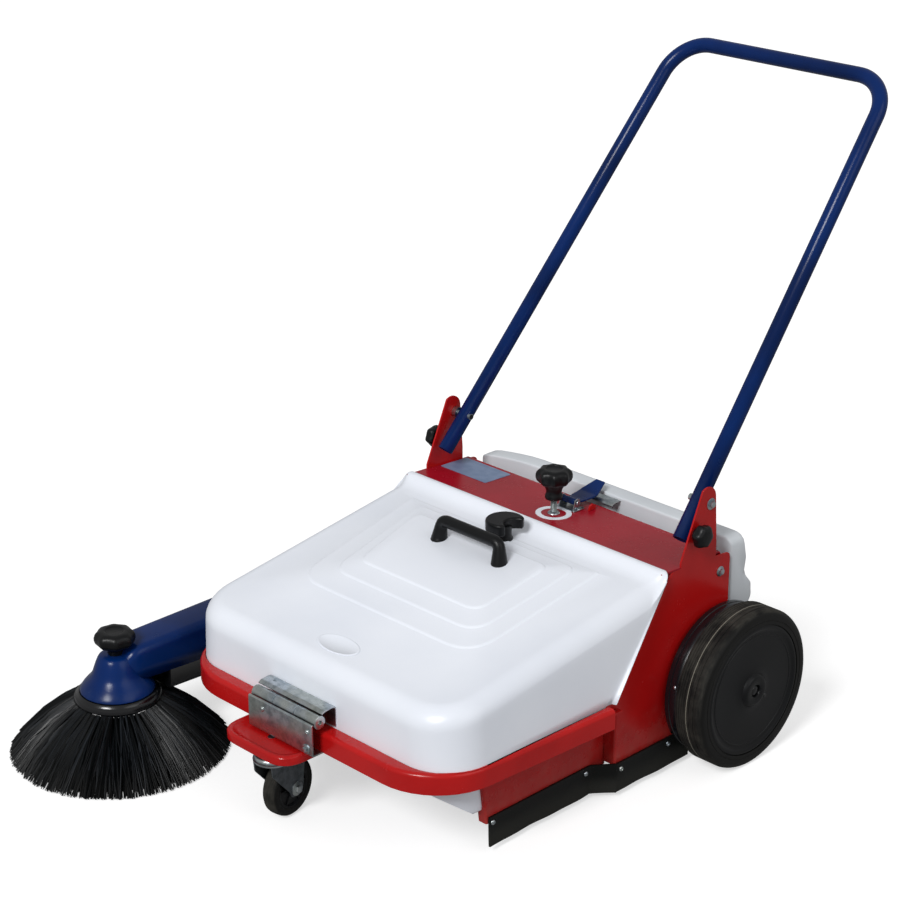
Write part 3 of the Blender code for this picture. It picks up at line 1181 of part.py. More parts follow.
def belts(chassis, arm):
    """Two round belts: a plain one from the wheel to the idler, and a quarter-twist one to the brush."""
    first, second = Vector((WHEEL_Y, WHEEL_Z)), Vector((PIVOT_Y, PIVOT_Z))
    wrap_a, wrap_b = DRIVE_R + BELT_R + BELT_GAP, IDLER_R + BELT_R + BELT_GAP
    line = second - first
    heading = math.degrees(math.atan2(line.y, line.x))
    lean = math.degrees(math.acos((wrap_a - wrap_b) / line.length))
    route = arc(first, wrap_a, heading + lean, heading + 360 - lean, 12)
    route += arc(second, wrap_b, heading - lean, heading + lean, 9)
    path = [(REAR_BELT_X, y, z) for y, z in route]
    piece("wheel_belt", tube(path, BELT_R, 1, loop=True), "belt_rubber", chassis)
    wrap_c = SIDE_PULLEY_R + BELT_R + BELT_GAP
    path = [(FRONT_BELT_X, PIVOT_Y + wrap_b * math.sin(a), PIVOT_Z + wrap_b * math.cos(a)) for a in np.linspace(0, math.pi, 10)]
    around = np.linspace(0, -math.pi, 11)
    path += [(SIDE_X + wrap_c * math.cos(a), SIDE_Y + wrap_c * math.sin(a), SIDE_BELT_Z) for a in around]
    piece("brush_belt", tube(path, BELT_R, 1, loop=True), "belt_rubber", arm)


def side_brush(carrier):
    """The side brush: its shaft, its hub with the belt groove, and the ring of bristles."""
    place = (SIDE_X, SIDE_Y, 0)
    bolt = [(0, 0.0655), (0.011, 0.0655), (0.011, 0.0715), (SIDE_SHAFT_R, 0.0715), (SIDE_SHAFT_R, 0.1445), (0, 0.1445)]
    piece("side_brush_shaft", turned(bolt, "Z", place, 20), "steel", carrier)
    bore = SIDE_SHAFT_R + FIT
    hub = [(bore, 0.0720), (0.046, 0.0720), (0.0655, 0.0860), (0.0650, 0.0925), (0.0590, 0.0990), (0.0560, 0.0990)]
    hub += [(0.0560, 0.0945), (0.0185, 0.0945), (0.0185, SIDE_BELT_Z - WIDE)]
    hub += [*groove(SIDE_PULLEY_R, SIDE_BELT_Z, WIDE), (bore, SIDE_BELT_Z + WIDE)]
    piece("side_brush_hub", turned(hub, "Z", place, 20, ring=True), "black_plastic", carrier)
    rows = 3
    band_out, band_in = Vector((0.0668, 0.0850)), Vector((0.0470, 0.0708))
    across = (band_in - band_out) / rows
    inward = Vector((-across.y, across.x)).normalized() * -0.003
    seat = Vector((0.0008, -0.0006))
    outer_line = [band_out + across * i + seat for i in range(rows + 1)]
    section = [tuple(p) for p in outer_line]
    section += [(band_in.x + 0.0002, band_in.y - 0.0001), (band_out.x - 0.0006, band_out.y + 0.0006)]
    ring = turned(section, "Z", place, SIDE_TUFTS, ring=True)
    grow_side_tufts(ring, Vector(place), outer_line)
    piece("side_brush_bristles", ring, "bristle", carrier)


def grow_side_tufts(ring, centre, rows):
    """One half of each face under the ring becomes a bristle that leans out to its row's reach on the floor."""
    chosen = []
    for row, (upper, lower) in enumerate(zip(rows, rows[1:])):
        middle_r = (upper.x + lower.x) / 2
        middle_z = (upper.y + lower.y) / 2
        for face in ring.faces:
            spot = face.calc_center_median() - centre
            reach = math.hypot(spot.x, spot.y)
            if abs(reach - middle_r) < 0.0006 and abs(spot.z - middle_z) < 0.0006 and face.normal.z < 0:
                chosen.append((row, face))
    reach_of = {}
    halves = []
    for row, face in chosen:
        made = bmesh.ops.triangulate(ring, faces=[face], quad_method="FIXED")["faces"]
        halves.append((row, made[0]))
    tips = (SIDE_BRUSH_R, SIDE_BRUSH_R - 0.018, SIDE_BRUSH_R - 0.040)
    for row, face in halves:
        reach_of[tuple(round(value, 6) for value in face.calc_center_median())] = tips[row]
    drawn = bmesh.ops.extrude_discrete_faces(ring, faces=[face for _, face in halves])["faces"]
    for face in drawn:
        middle = face.calc_center_median()
        tip_r = reach_of[tuple(round(value, 6) for value in middle)]
        out = Vector((middle.x - centre.x, middle.y - centre.y, 0))
        sideways = out.normalized()
        flats = [Vector((corner.co.x - middle.x, corner.co.y - middle.y, 0)) * 0.8 for corner in face.verts]
        spread = max(flat.dot(sideways) for flat in flats)
        for corner, flat in zip(face.verts, flats):
            corner.co = Vector((centre.x, centre.y, SIDE_TIP_Z)) + sideways * (tip_r - spread) + flat
    bmesh.ops.recalc_face_normals(ring, faces=ring.faces)


def side_knob(carrier):
    """The star knob on the dome that sets how hard the side brush presses."""
    centre = (SIDE_X, SIDE_Y)
    head = star(KNOB_R, 8, 0.0035, centre, "Z", SIDE_KNOB_LOW_Z, SIDE_KNOB_LOW_Z + 0.020)
    knob = piece("side_brush_knob", head, "black_plastic", carrier)
    top = DOME_TOP_Z + FIT
    join(knob, turned(
        [(0, top), (0.011, top), (0.016, SIDE_KNOB_LOW_Z + 0.004), (0, SIDE_KNOB_LOW_Z + 0.004)],
        "Z", (*centre, 0), 20,
    ))
    join(knob, rod(SCREW_R, "Z", (*centre, 0), 0.1460, SIDE_KNOB_LOW_Z, 16))


def trail():
    """The caster's heading on the floor, from its swivel axis towards its wheel."""
    return Vector((math.sin(CASTER_TURN), math.cos(CASTER_TURN)))


def swivel_place():
    heading = trail() * CASTER_TRAIL
    return (CASTER_X - heading.x, CASTER_Y - heading.y)


def caster(chassis, fork_body, wheel_body):
    """The swivel caster: the kingpin on the lip, the fork with its bolt, and the rubber wheel."""
    x, y = swivel_place()
    under = LIP_TOP_Z - SHEET - FIT
    plate_low = CASTER_CROWN_Z + 0.0106
    pin = [(0, CASTER_CROWN_Z - 0.0095), (0.010, CASTER_CROWN_Z - 0.0095), (0.010, CASTER_CROWN_Z - 0.0035)]
    pin += [(0.006, CASTER_CROWN_Z - 0.0035), (0.006, plate_low), (0.022, plate_low), (0.022, under)]
    pin += [(0.006, under), (0.006, LIP_TOP_Z), (0, LIP_TOP_Z)]
    piece("caster_kingpin", turned(pin, "Z", (x, y, 0), 14), "zinc", chassis)
    turn = Matrix.Translation((x, y, 0)) @ Matrix.Rotation(-CASTER_TURN, 4, "Z")
    gap = CASTER_WIDTH / 2 + 0.002
    crown = rod(0.028, "Z", (0, 0, 0), CASTER_CROWN_Z - 0.003, CASTER_CROWN_Z + 0.010, 18)
    moved(crown, turn)
    fork = piece("caster_fork", crown, "steel", fork_body)
    for side in (-1, 1):
        low, high = sorted((side * gap, side * (gap + 0.003)))
        leg = [(-0.022, CASTER_CROWN_Z), (-0.020, 0.088), (CASTER_TRAIL - 0.013, CASTER_R - 0.002)]
        leg += arc((CASTER_TRAIL, CASTER_R), 0.013, 185, 355, 5)
        leg += [(CASTER_TRAIL + 0.020, 0.088), (CASTER_TRAIL + 0.018, CASTER_CROWN_Z)]
        join(fork, moved(prism(leg, "X", low, high), turn))
    join(fork, moved(box((-gap - 0.003, -0.022, CASTER_CROWN_Z - 0.003), (gap + 0.003, CASTER_TRAIL + 0.018, CASTER_CROWN_Z)), turn))
    cut(fork, moved(rod(0.006 + FIT, "Z", (0, 0, 0), 0.08, 0.14, 14), turn))
    end = gap + 0.0025
    bolt = [(0, -end - 0.004), (0.008, -end - 0.004), (0.008, -end), (0.004, -end), (0.004, end), (0.008, end)]
    bolt += [(0.008, end + 0.005), (0, end + 0.005)]
    join(fork, moved(turned(bolt, "X", (0, CASTER_TRAIL, CASTER_R), 12), turn))
    half = CASTER_WIDTH / 2
    seat = CASTER_R - 0.013
    tread = [(seat, -half), (CASTER_R - 0.005, -half), (CASTER_R, -half + 0.006), (CASTER_R, half - 0.006)]
    tread += [(CASTER_R - 0.005, half), (seat, half)]
    tyre = turned(tread, "X", (0, CASTER_TRAIL, CASTER_R), 28, ring=True, flat=True)
    piece("caster_tyre", moved(tyre, turn), "tyre_rubber", wheel_body)
    rim = seat - FIT
    hub = [(0.004 + FIT, -half - 0.0015), (0.010, -half - 0.0015), (0.012, -half + 0.005), (rim - 0.004, -half + 0.005)]
    hub += [(rim, -half + 0.001), (rim, half - 0.001), (rim - 0.004, half - 0.005), (0.012, half - 0.005)]
    hub += [(0.010, half + 0.0015), (0.004 + FIT, half + 0.0015)]
    hub = turned(hub, "X", (0, CASTER_TRAIL, CASTER_R), 16, ring=True)
    piece("caster_hub", moved(hub, turn), "black_plastic", wheel_body)


def moved(shape, matrix):
    """The shape, moved by a matrix in place."""
    bmesh.ops.transform(shape, matrix=matrix, verts=shape.verts)
    return shape


def sweeper():
    for old in list(bpy.data.objects):
        bpy.data.objects.remove(old)
    machine = pivot("machine", (0, 0, 0))
    machine.location = ORIGIN
    side_plate(1, "side_plate_left", machine)
    side_plate(-1, "side_plate_right", machine)
    deck_panel(machine)
    front_frame(machine)
    caster_lip(machine)
    for side, name in ((1, "left"), (-1, "right")):
        skirts(side, name, machine)
        handle_knob(side, name, pivot(f"handle_knob_{name}_turn", (0, STUD_Y, STUD_Z), machine))
        spin = pivot(f"wheel_{name}_spin", (0, WHEEL_Y, WHEEL_Z), machine)
        wheel(side, name, spin)
        if side > 0:
            drive_gear(spin)
        else:
            drive_pulley(spin)
    rear_wall(machine)
    brush_hood(machine)
    bearings(machine)
    handle_bolts(machine)
    push_handle(pivot("handle_fold", (0, BOLT_Y, BOLT_Z), machine))
    main_brush(pivot("main_brush_spin", (0, BRUSH_Y, BRUSH_Z), machine))
    dust_drawer(pivot("drawer_slide", (0, TANK_FRONT_Y, DRAWER_LOW_Z), machine))
    drawer_runners(machine)
    hopper = pivot("hopper_tip", (HINGE_X, HINGE_Y, HINGE_Z), machine)
    hopper_cover(hopper)
    hopper_tub(hopper)
    bow_grip(hopper)
    latch(pivot("latch_turn", (0, LATCH_Y, LATCH_TOP_Z), hopper))
    latch_keeper(machine)
    hinge(machine, hopper)
    height_screw(machine, pivot("height_knob_turn", (0, KNOB_Y, KNOB_TOP_Z), machine))
    clamp_lever(machine, pivot("lever_lift", (0, LEVER_PIN_Y, LEVER_PIN_Z), machine))
    arm = pivot("side_arm_lift", (ARM_REAR_X, PIVOT_Y, PIVOT_Z), machine)
    side_arm(arm, machine)
    idler(pivot("idler_spin", (REAR_BELT_X, PIVOT_Y, PIVOT_Z), machine))
    belts(machine, arm)
    side_brush(pivot("side_brush_spin", (SIDE_X, SIDE_Y, SIDE_BELT_Z), arm))
    side_knob(pivot("side_knob_turn", (SIDE_X, SIDE_Y, SIDE_KNOB_LOW_Z), arm))
    swivel = pivot("caster_swivel", (*swivel_place(), CASTER_CROWN_Z), machine)
    caster(machine, swivel, pivot("caster_wheel_spin", (CASTER_X, CASTER_Y, CASTER_R), swivel))


sweeper()
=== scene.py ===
# %% [markdown]
# # A manual floor sweeper, dressed from its CAD frame
# The CAD model already puts every solid part in its place. This lesson loads it as a fixed frame, keeps the
# hidden machinery as it is, and gives each part that meets the eye a fuller shape and a finish of its own.

# %% Load the fixed frame
import math
import random

import bmesh
import bpy
from mathutils import Matrix, Vector


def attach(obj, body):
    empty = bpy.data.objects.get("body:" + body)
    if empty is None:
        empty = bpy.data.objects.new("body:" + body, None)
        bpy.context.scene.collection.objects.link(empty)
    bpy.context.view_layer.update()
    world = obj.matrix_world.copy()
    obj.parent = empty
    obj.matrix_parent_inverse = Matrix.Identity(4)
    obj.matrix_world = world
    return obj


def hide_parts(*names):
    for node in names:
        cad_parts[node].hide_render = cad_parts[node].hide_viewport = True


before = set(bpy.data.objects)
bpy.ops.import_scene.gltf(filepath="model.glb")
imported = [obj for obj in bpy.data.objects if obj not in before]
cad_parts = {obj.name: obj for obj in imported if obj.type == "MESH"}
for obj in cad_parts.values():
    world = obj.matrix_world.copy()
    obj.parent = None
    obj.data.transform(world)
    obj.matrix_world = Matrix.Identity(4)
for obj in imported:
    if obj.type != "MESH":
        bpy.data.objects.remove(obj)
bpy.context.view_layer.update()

# %% [markdown]
# ## The camera
# The photograph was taken with a fairly long lens from the sweeper's front left corner, at about head
# height. A camera object needs a place, a turn that looks at a point, and a focal length. Everything else
# stays as it is.

# %% Camera
VIEW_FROM = Vector((2.33055, -2.32338, 1.75824))
VIEW_AT = Vector((-0.0030, -0.0233, 0.4400))
lens = bpy.data.cameras.new("camera")
lens.lens, lens.sensor_width = 93.79, 36.0
camera = bpy.data.objects.new("camera", lens)
camera.location = VIEW_FROM
camera.rotation_euler = (VIEW_AT - VIEW_FROM).to_track_quat("-Z", "Y").to_euler()
bpy.context.scene.collection.objects.link(camera)
bpy.context.scene.camera = camera
bpy.context.scene.view_settings.view_transform = "Standard"

# %% [markdown]
# ## Shader maths as sums
# A finish is a tree of nodes. Writing each Math node by hand hides what a pattern does, so a small class
# wraps a socket and lets Python's own signs add the nodes: `1 - mask` or `0.3 + 0.1 * grain` then reads as
# it is meant. A second class holds one finish: it adds any node from its type, its settings and what feeds
# its sockets.

# %% A socket that takes part in sums
class Wire:
    def __init__(self, finish, socket):
        self.finish, self.socket = finish, socket

    def maths(self, operation, *values):
        return self.finish.node("Math", {"operation": operation}, dict(enumerate(values)))

    def __add__(self, other):
        return self.maths("ADD", self, other)

    def __rsub__(self, other):
        return self.maths("SUBTRACT", other, self)

    def __mul__(self, other):
        return self.maths("MULTIPLY", self, other)

    def __pow__(self, other):
        return self.maths("POWER", self, other)

    __radd__, __rmul__ = __add__, __mul__


# %% One finish and its nodes
class Finish:
    """A material whose Principled shader keeps its constants, and takes its patterns from nodes."""

    def __init__(self, name, metallic=0.0, specular=0.5):
        self.material = bpy.data.materials.new(name)
        self.material.use_nodes = True
        self.tree = self.material.node_tree
        self.shader = self.tree.nodes["Principled BSDF"].inputs
        self.shader["Metallic"].default_value = metallic
        self.shader["Specular IOR Level"].default_value = specular

    def feed(self, socket, value):
        if isinstance(value, Wire):
            self.tree.links.new(value.socket, socket)
        else:
            socket.default_value = value

    def node(self, kind, settings=None, sockets=None, out=0):
        made = self.tree.nodes.new("ShaderNode" + kind)
        for key, value in (settings or {}).items():
            setattr(made, key, value)
        for key, value in (sockets or {}).items():
            self.feed(made.inputs[key], value)
        return Wire(self, made.outputs[out])

    def place(self, centre=(0, 0, 0), scale=(1, 1, 1), turn=(0, 0, 0)):
        """Object coordinates about a centre, turned and stretched."""
        here = self.node("TexCoord", out="Object")
        moved = self.node("VectorMath", {"operation": "SUBTRACT"}, {0: here, 1: tuple(centre)})
        return self.node("Mapping", None, {"Vector": moved, "Rotation": turn, "Scale": scale})

    def noise(self, where, scale, detail=3.0, rough=0.5):
        return self.node("TexNoise", None, {
            "Vector": where, "Scale": scale, "Detail": detail, "Roughness": rough})

    def step(self, value, low, high):
        """A soft step from 0 at low to 1 at high."""
        return self.node("MapRange", {"interpolation_type": "SMOOTHSTEP"}, {
            "Value": value, "From Min": low, "From Max": high})

    def mix(self, share, one, other):
        return self.node("Mix", {"data_type": "RGBA"}, {0: share, 6: one, 7: other}, out=2)

    def axes(self, where):
        """The three numbers of a place."""
        return [self.node("SeparateXYZ", None, {"Vector": where}, out=i) for i in range(3)]

    def bump(self, height, strength, depth):
        return self.node("Bump", None, {"Height": height, "Strength": strength, "Distance": depth})

    def end(self, colour, roughness, normal=None, **more):
        self.feed(self.shader["Base Color"], colour)
        self.feed(self.shader["Roughness"], roughness)
        if normal:
            self.feed(self.shader["Normal"], normal)
        for key, value in more.items():
            self.feed(self.shader[key.replace("_", " ")], value)
        return self.material


def seen(*screen):
    """Red, green and blue as a screen shows them, from 0 to 255, as the linear colour of a shader."""
    shares = [value / 255 for value in screen]
    return (*[s / 12.92 if s < 0.04 else ((s + 0.055) / 1.055) ** 2.4 for s in shares], 1.0)


def grey(value):
    return (value, value, value, 1.0)


# %% [markdown]
# ## Light, floor and background
# Two broad suns and an even sky keep the shadows soft and the colours plain. The sky and the floor look
# white to the camera, by Light Path, while the light that they throw on the sweeper and show in reflections
# stays low, as over dark ground. The floor still takes the sweeper's shadow.

# %% Suns
def sun(name, towards, strength, spread):
    lamp = bpy.data.lights.new(name, "SUN")
    lamp.energy, lamp.angle = strength, math.radians(spread)
    made = bpy.data.objects.new(name, lamp)
    made.rotation_euler = (-Vector(towards)).to_track_quat("-Z", "Y").to_euler()
    bpy.context.scene.collection.objects.link(made)


sun("key_sun", (0.20, -0.75, 0.63), 2.10, 18)
sun("fill_sun", (0.85, 0.10, 0.55), 0.42, 40)

# %% Sky
SKY = 0.40
world = bpy.data.worlds.new("studio")
world.use_nodes = True
bpy.context.scene.world = world
nodes, links = world.node_tree.nodes, world.node_tree.links
path = nodes.new("ShaderNodeLightPath")
level = nodes.new("ShaderNodeMapRange")
level.inputs["To Min"].default_value = SKY
links.new(path.outputs["Is Camera Ray"], level.inputs["Value"])
nodes["Background"].inputs["Color"].default_value = grey(1.0)
links.new(level.outputs[0], nodes["Background"].inputs["Strength"])

# %% Floor
FLOOR_BOUNCE, FLOOR_SEEN, FLOOR_GLOW = 0.34, 0.62, 0.56
floor_paint = Finish("studio_floor", specular=0.0)
straight = floor_paint.node("LightPath", out="Is Camera Ray")
bounce = floor_paint.mix(straight, grey(FLOOR_BOUNCE), grey(FLOOR_SEEN))
glow = floor_paint.mix(straight, grey(0), grey(FLOOR_GLOW))
floor_paint.shader["Emission Strength"].default_value = 1.0
floor_paint.end(bounce, 0.9, Emission_Color=glow)
ground = bmesh.new()
bmesh.ops.create_circle(ground, cap_ends=True, segments=64, radius=40)
mesh = bpy.data.meshes.new("studio_floor")
ground.to_mesh(mesh)
mesh.materials.append(floor_paint.material)
studio_floor = bpy.data.objects.new("studio_floor", mesh)
bpy.context.scene.collection.objects.link(studio_floor)

# %% [markdown]
# ## Paints
# The sheet steel is powder coated. Such a coat is glossy but never flat: it has a fine orange peel, its
# tone drifts a little over a panel, and the low edges pick up dust. One function makes both the red and the
# blue, because only their colours and a few strengths differ.

# %% Powder coats
def powder_coat(name, colour, deep, dust, rough, specular):
    coat = Finish(name, specular=specular)
    here = coat.place()
    drift = coat.step(coat.noise(here, 7.0, 4.0), 0.35, 0.68)
    peel = coat.noise(here, 520.0, 2.0)
    fine = coat.noise(here, 60.0, 5.0, 0.6)
    _, _, height = coat.axes(here)
    low = coat.step(0.11 - height + 0.07 * fine, 0.02, 0.10)
    specks = coat.step(coat.noise(here, 900.0, 1.0), 0.71, 0.76)
    base = coat.mix(drift, colour, deep)
    base = coat.mix(0.30 * low * fine + 0.10 * specks, base, dust)
    rubbed = coat.step(coat.noise(here, 24.0, 6.0, 0.65), 0.55, 0.75)
    roughness = rough + 0.10 * rubbed + 0.10 * low + 0.05 * fine
    return coat.end(base, roughness, coat.bump(peel + 0.4 * fine, 0.16, 0.0004))


RED = powder_coat("red_powder_coat", seen(181, 20, 20), seen(165, 15, 16), seen(150, 110, 100), 0.20, 0.30)
BLUE = powder_coat("blue_powder_coat", seen(3, 38, 96), seen(1, 27, 74), seen(80, 96, 116), 0.20, 0.20)
# The deck's coat is the same red painted darker and bluer: painted shade and painted sky reflection on the
# deck's upward face.
DECK_RED_SHADED = powder_coat("red_coat_painted_deck_shade", seen(156, 13, 33), seen(142, 11, 28), seen(140, 100, 100), 0.24, 0.22)
print("Coats:", RED.name, DECK_RED_SHADED.name, BLUE.name)

# %% [markdown]
# ## Mouldings
# The cover, the tub and the dust drawer are white polyethylene with a faint moulded grain and light scuffs.
# The knobs and the grip are satin black nylon with a finer grain.

# %% Moulded plastics
def moulding(name, colour, stain, grain_size, grain, rough, specular=0.5):
    made = Finish(name, specular=specular)
    here = made.place()
    drift = made.step(made.noise(here, 5.0, 4.0), 0.38, 0.72)
    leather = made.noise(here, grain_size, 3.0, 0.6)
    along = made.noise(made.place(scale=(1.0, 0.12, 1.0), turn=(0, 0, 0.5)), 130.0, 4.0, 0.7)
    scuffs = made.step(along, 0.66, 0.76)
    base = made.mix(0.55 * drift + 0.25 * scuffs, colour, stain)
    roughness = rough + 0.10 * scuffs + 0.08 * leather
    return made.end(base, roughness, made.bump(leather + 0.5 * scuffs, grain, 0.0003))


WHITE = moulding("white_moulding", seen(233, 237, 245), seen(222, 227, 237), 480.0, 0.12, 0.27)
TANK = moulding("tank_moulding", seen(214, 219, 224), seen(198, 203, 209), 420.0, 0.14, 0.34)
BLACK = moulding("black_moulding", seen(7, 8, 10), seen(14, 16, 19), 900.0, 0.22, 0.34, 0.27)
GLOSS_BLACK = moulding("glossy_black_moulding", seen(9, 10, 13), seen(16, 18, 23), 600.0, 0.08, 0.18, 0.55)

# %% Natural nylon and label
def nylon():
    made = Finish("natural_nylon")
    here = made.place()
    cloud = made.noise(here, 40.0, 4.0)
    fine = made.noise(here, 700.0, 2.0)
    base = made.mix(cloud, seen(226, 222, 205), seen(203, 198, 180))
    return made.end(base, 0.38 + 0.12 * cloud, made.bump(fine, 0.15, 0.0003))


def plain_label():
    made = Finish("plain_label")
    here = made.place()
    cloud = made.noise(here, 45.0, 4.0)
    brushed = made.noise(made.place(scale=(1.0, 0.03, 1.0)), 900.0, 2.0)
    base = made.mix(made.step(cloud, 0.35, 0.65), seen(118, 136, 166), seen(100, 120, 152))
    return made.end(base, 0.30 + 0.20 * brushed, made.bump(brushed, 0.10, 0.0002))


NYLON, LABEL = nylon(), plain_label()

# %% [markdown]
# ## Rubbers
# A tyre's face is nearly black, while the tread that meets the floor is dusty and scuffed round its girth.
# The skirts are the same kind of rubber in sheet form, so they only differ in where the dust lies.

# %% Tyre rubber, dusty towards the tread
def tyre_rubber(name, centre, radius, turn=0.0, shine=0.42):
    made = Finish(name, specular=0.25)
    here = made.place(centre, turn=(0, 0, turn))
    across, along, height = made.axes(here)
    reach = (along * along + height * height) ** 0.5
    fine = made.noise(made.place(), 260.0, 4.0, 0.65)
    cloud = made.noise(made.place(), 22.0, 5.0, 0.6)
    tread = made.step(reach + 0.002 * cloud, radius * 0.965, radius * 0.995)
    streaks = made.noise(made.place(scale=(6.0, 1.0, 1.0)), 55.0, 3.0)
    worn = 0.75 * tread * made.step(cloud + 0.3 * streaks, 0.45, 0.85)
    dust = worn + 0.10 * made.step(cloud, 0.5, 0.8)
    base = made.mix(dust, seen(8, 8, 7), seen(58, 56, 51))
    roughness = shine + 0.30 * tread + 0.12 * cloud
    return made.end(base, roughness, made.bump(fine + 0.5 * cloud, 0.35, 0.0005))


# %% Skirt and belt rubber
def sheet_rubber(name, colour, dust, shine):
    made = Finish(name, specular=0.22)
    here = made.place()
    fine = made.noise(here, 330.0, 4.0, 0.6)
    cloud = made.noise(here, 16.0, 5.0, 0.6)
    _, _, height = made.axes(here)
    low = made.step(0.035 - height + 0.02 * cloud, 0.0, 0.025)
    scratch = made.step(made.noise(made.place(scale=(1, 0.05, 1)), 420.0, 2.0), 0.68, 0.75)
    base = made.mix(0.45 * low + 0.25 * scratch * cloud, colour, dust)
    return made.end(base, shine + 0.25 * low + 0.08 * fine, made.bump(fine + scratch, 0.25, 0.0003))


SKIRT = sheet_rubber("skirt_sheet_rubber", seen(7, 9, 8), seen(50, 50, 46), 0.38)
BELT = sheet_rubber("belt_cord_rubber", seen(36, 34, 33), seen(80, 76, 72), 0.55)
# The mould line's rubber is pale only as a painted highlight, where light catches the tyre's parting line.
MOULD_LINE_HIGHLIGHT = sheet_rubber("mould_line_painted_highlight", seen(120, 118, 108), seen(150, 146, 134), 0.50)

# %% [markdown]
# ## Metals
# Zinc plate is bright but mottled, with a faint yellow and blue play and fine rolling marks. Turned steel
# shows rings of tool marks, so its noise is stretched.

# %% Plated and bare steel
def plated(name, light, dark, warm, rough, marks):
    made = Finish(name, metallic=1.0)
    here = made.place()
    cloud = made.noise(here, 70.0, 5.0, 0.65)
    tint = made.step(made.noise(here, 26.0, 3.0), 0.40, 0.65)
    drawn = made.noise(made.place(scale=marks), 800.0, 2.0)
    base = made.mix(made.step(cloud, 0.35, 0.70), light, dark)
    base = made.mix(0.35 * tint, base, warm)
    pits = made.step(made.noise(here, 420.0, 3.0), 0.66, 0.74)
    roughness = rough + 0.16 * cloud + 0.14 * drawn + 0.15 * pits
    return made.end(base, roughness, made.bump(drawn + pits, 0.12, 0.0003))


ZINC = plated(
    "zinc_plate", seen(194, 202, 208), seen(138, 150, 158), seen(190, 190, 168), 0.16, (0.06, 1, 1))
STEEL = plated(
    "turned_steel", seen(168, 170, 174), seen(136, 139, 144), seen(164, 158, 150), 0.24, (1, 0.05, 0.05))
FORK = plated(
    "pressed_steel", seen(120, 126, 130), seen(84, 90, 94), seen(110, 112, 118), 0.26, (1, 1, 0.08))

# %% [markdown]
# ## Bristles
# Polypropylene bristles are black and waxy. A few strands are painted much lighter, as painted highlight
# streaks, and the others vary a little in tone at random. Each strand carries a random number in an
# attribute, which the finish reads.

# %% Bristle plastic
def bristle_plastic():
    made = Finish("bristle_plastic", specular=0.16)
    lot = made.node("Attribute", {"attribute_name": "strand"}, out=2)
    here = made.place()
    fine = made.noise(here, 240.0, 2.0)
    _, _, height = made.axes(here)
    tips = made.step(0.05 - height + 0.02 * lot, 0.02, 0.055)
    # Painted highlight: strands whose number is near 1 are much lighter, as streaks of light; the rest keep a
    # small random tone.
    base = made.mix(lot ** 4.0, seen(2, 4, 5), seen(34, 38, 43))
    base = made.mix(0.12 * tips * lot, base, seen(90, 86, 80))
    return made.end(base, 0.26 + 0.22 * lot + 0.06 * fine, made.bump(fine, 0.2, 0.0002))


BRISTLE = bristle_plastic()
print("Finishes made:", len([m for m in bpy.data.materials if m.use_nodes]))

# %% [markdown]
# ## Shapes from bmesh operators
# Almost every part of the sweeper is a turned form, a flat outline drawn out to a thickness, or a run of
# sections with a skin over them. A helper for each keeps the parts below short. All of them work in
# millimetres, in the sweeper's own coordinates, with x = 0 on its centre line. `piece` brings the finished
# mesh to metres and to the frame's origin.

# %% A finished piece
MM = 0.001
CENTRE = Vector((92.5, 44.5, 0.0))
TO_FRAME = Matrix.Scale(MM, 4) @ Matrix.Translation(CENTRE)
SIDES = ((1, "left"), (-1, "right"))
SLOTS = {
    "red_powder_coat": "red_paint", "red_coat_painted_deck_shade": "red_paint", "blue_powder_coat": "blue_paint",
    "white_moulding": "white_plastic", "tank_moulding": "white_plastic", "plain_label": "white_plastic",
    "black_moulding": "black_plastic", "glossy_black_moulding": "black_plastic", "zinc_plate": "zinc",
    "pressed_steel": "steel", "skirt_sheet_rubber": "skirt_rubber", "mould_line_painted_highlight": "tyre_rubber",
    "tyre_rubber_dusty": "tyre_rubber", "caster_tyre_rubber": "tyre_rubber", "bristle_plastic": "bristle"}
faces_made = {}


def piece(name, shape, finish, body, replaces=(), bevel=0.0, wall=0.0, angle=35, slot=None):
    """A mesh object from a bmesh, with the modifiers that give it its thickness and its soft edges."""
    slot = slot or SLOTS[finish.name]
    bmesh.ops.transform(shape, matrix=TO_FRAME, verts=shape.verts)
    mesh = bpy.data.meshes.new(name)
    shape.to_mesh(mesh)
    shape.free()
    mesh.materials.append(finish)
    mesh.shade_smooth()
    mesh.set_sharp_from_angle(angle=math.radians(angle))
    made = bpy.data.objects.new(name, mesh)
    bpy.context.scene.collection.objects.link(made)
    if wall:
        thick = made.modifiers.new("wall", "SOLIDIFY")
        thick.thickness, thick.offset, thick.use_even_offset = wall * MM, -1.0, True
    if bevel:
        soft = made.modifiers.new("soft_edges", "BEVEL")
        soft.width, soft.segments, soft.limit_method = bevel * MM, 3, "ANGLE"
        soft.angle_limit = math.radians(angle)
        flat = made.modifiers.new("flat_faces", "WEIGHTED_NORMAL")
        flat.keep_sharp = False
    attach(made, body)
    if replaces:
        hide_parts(*replaces)
    faces_made[name] = len(mesh.polygons)
    return made


# %% Outlines and paths
def arc(centre, radius, start, end, steps):
    """Points on an arc, with its angles in degrees."""
    angles = [math.radians(start + (end - start) * i / steps) for i in range(steps + 1)]
    return [(centre[0] + radius * math.cos(a), centre[1] + radius * math.sin(a)) for a in angles]


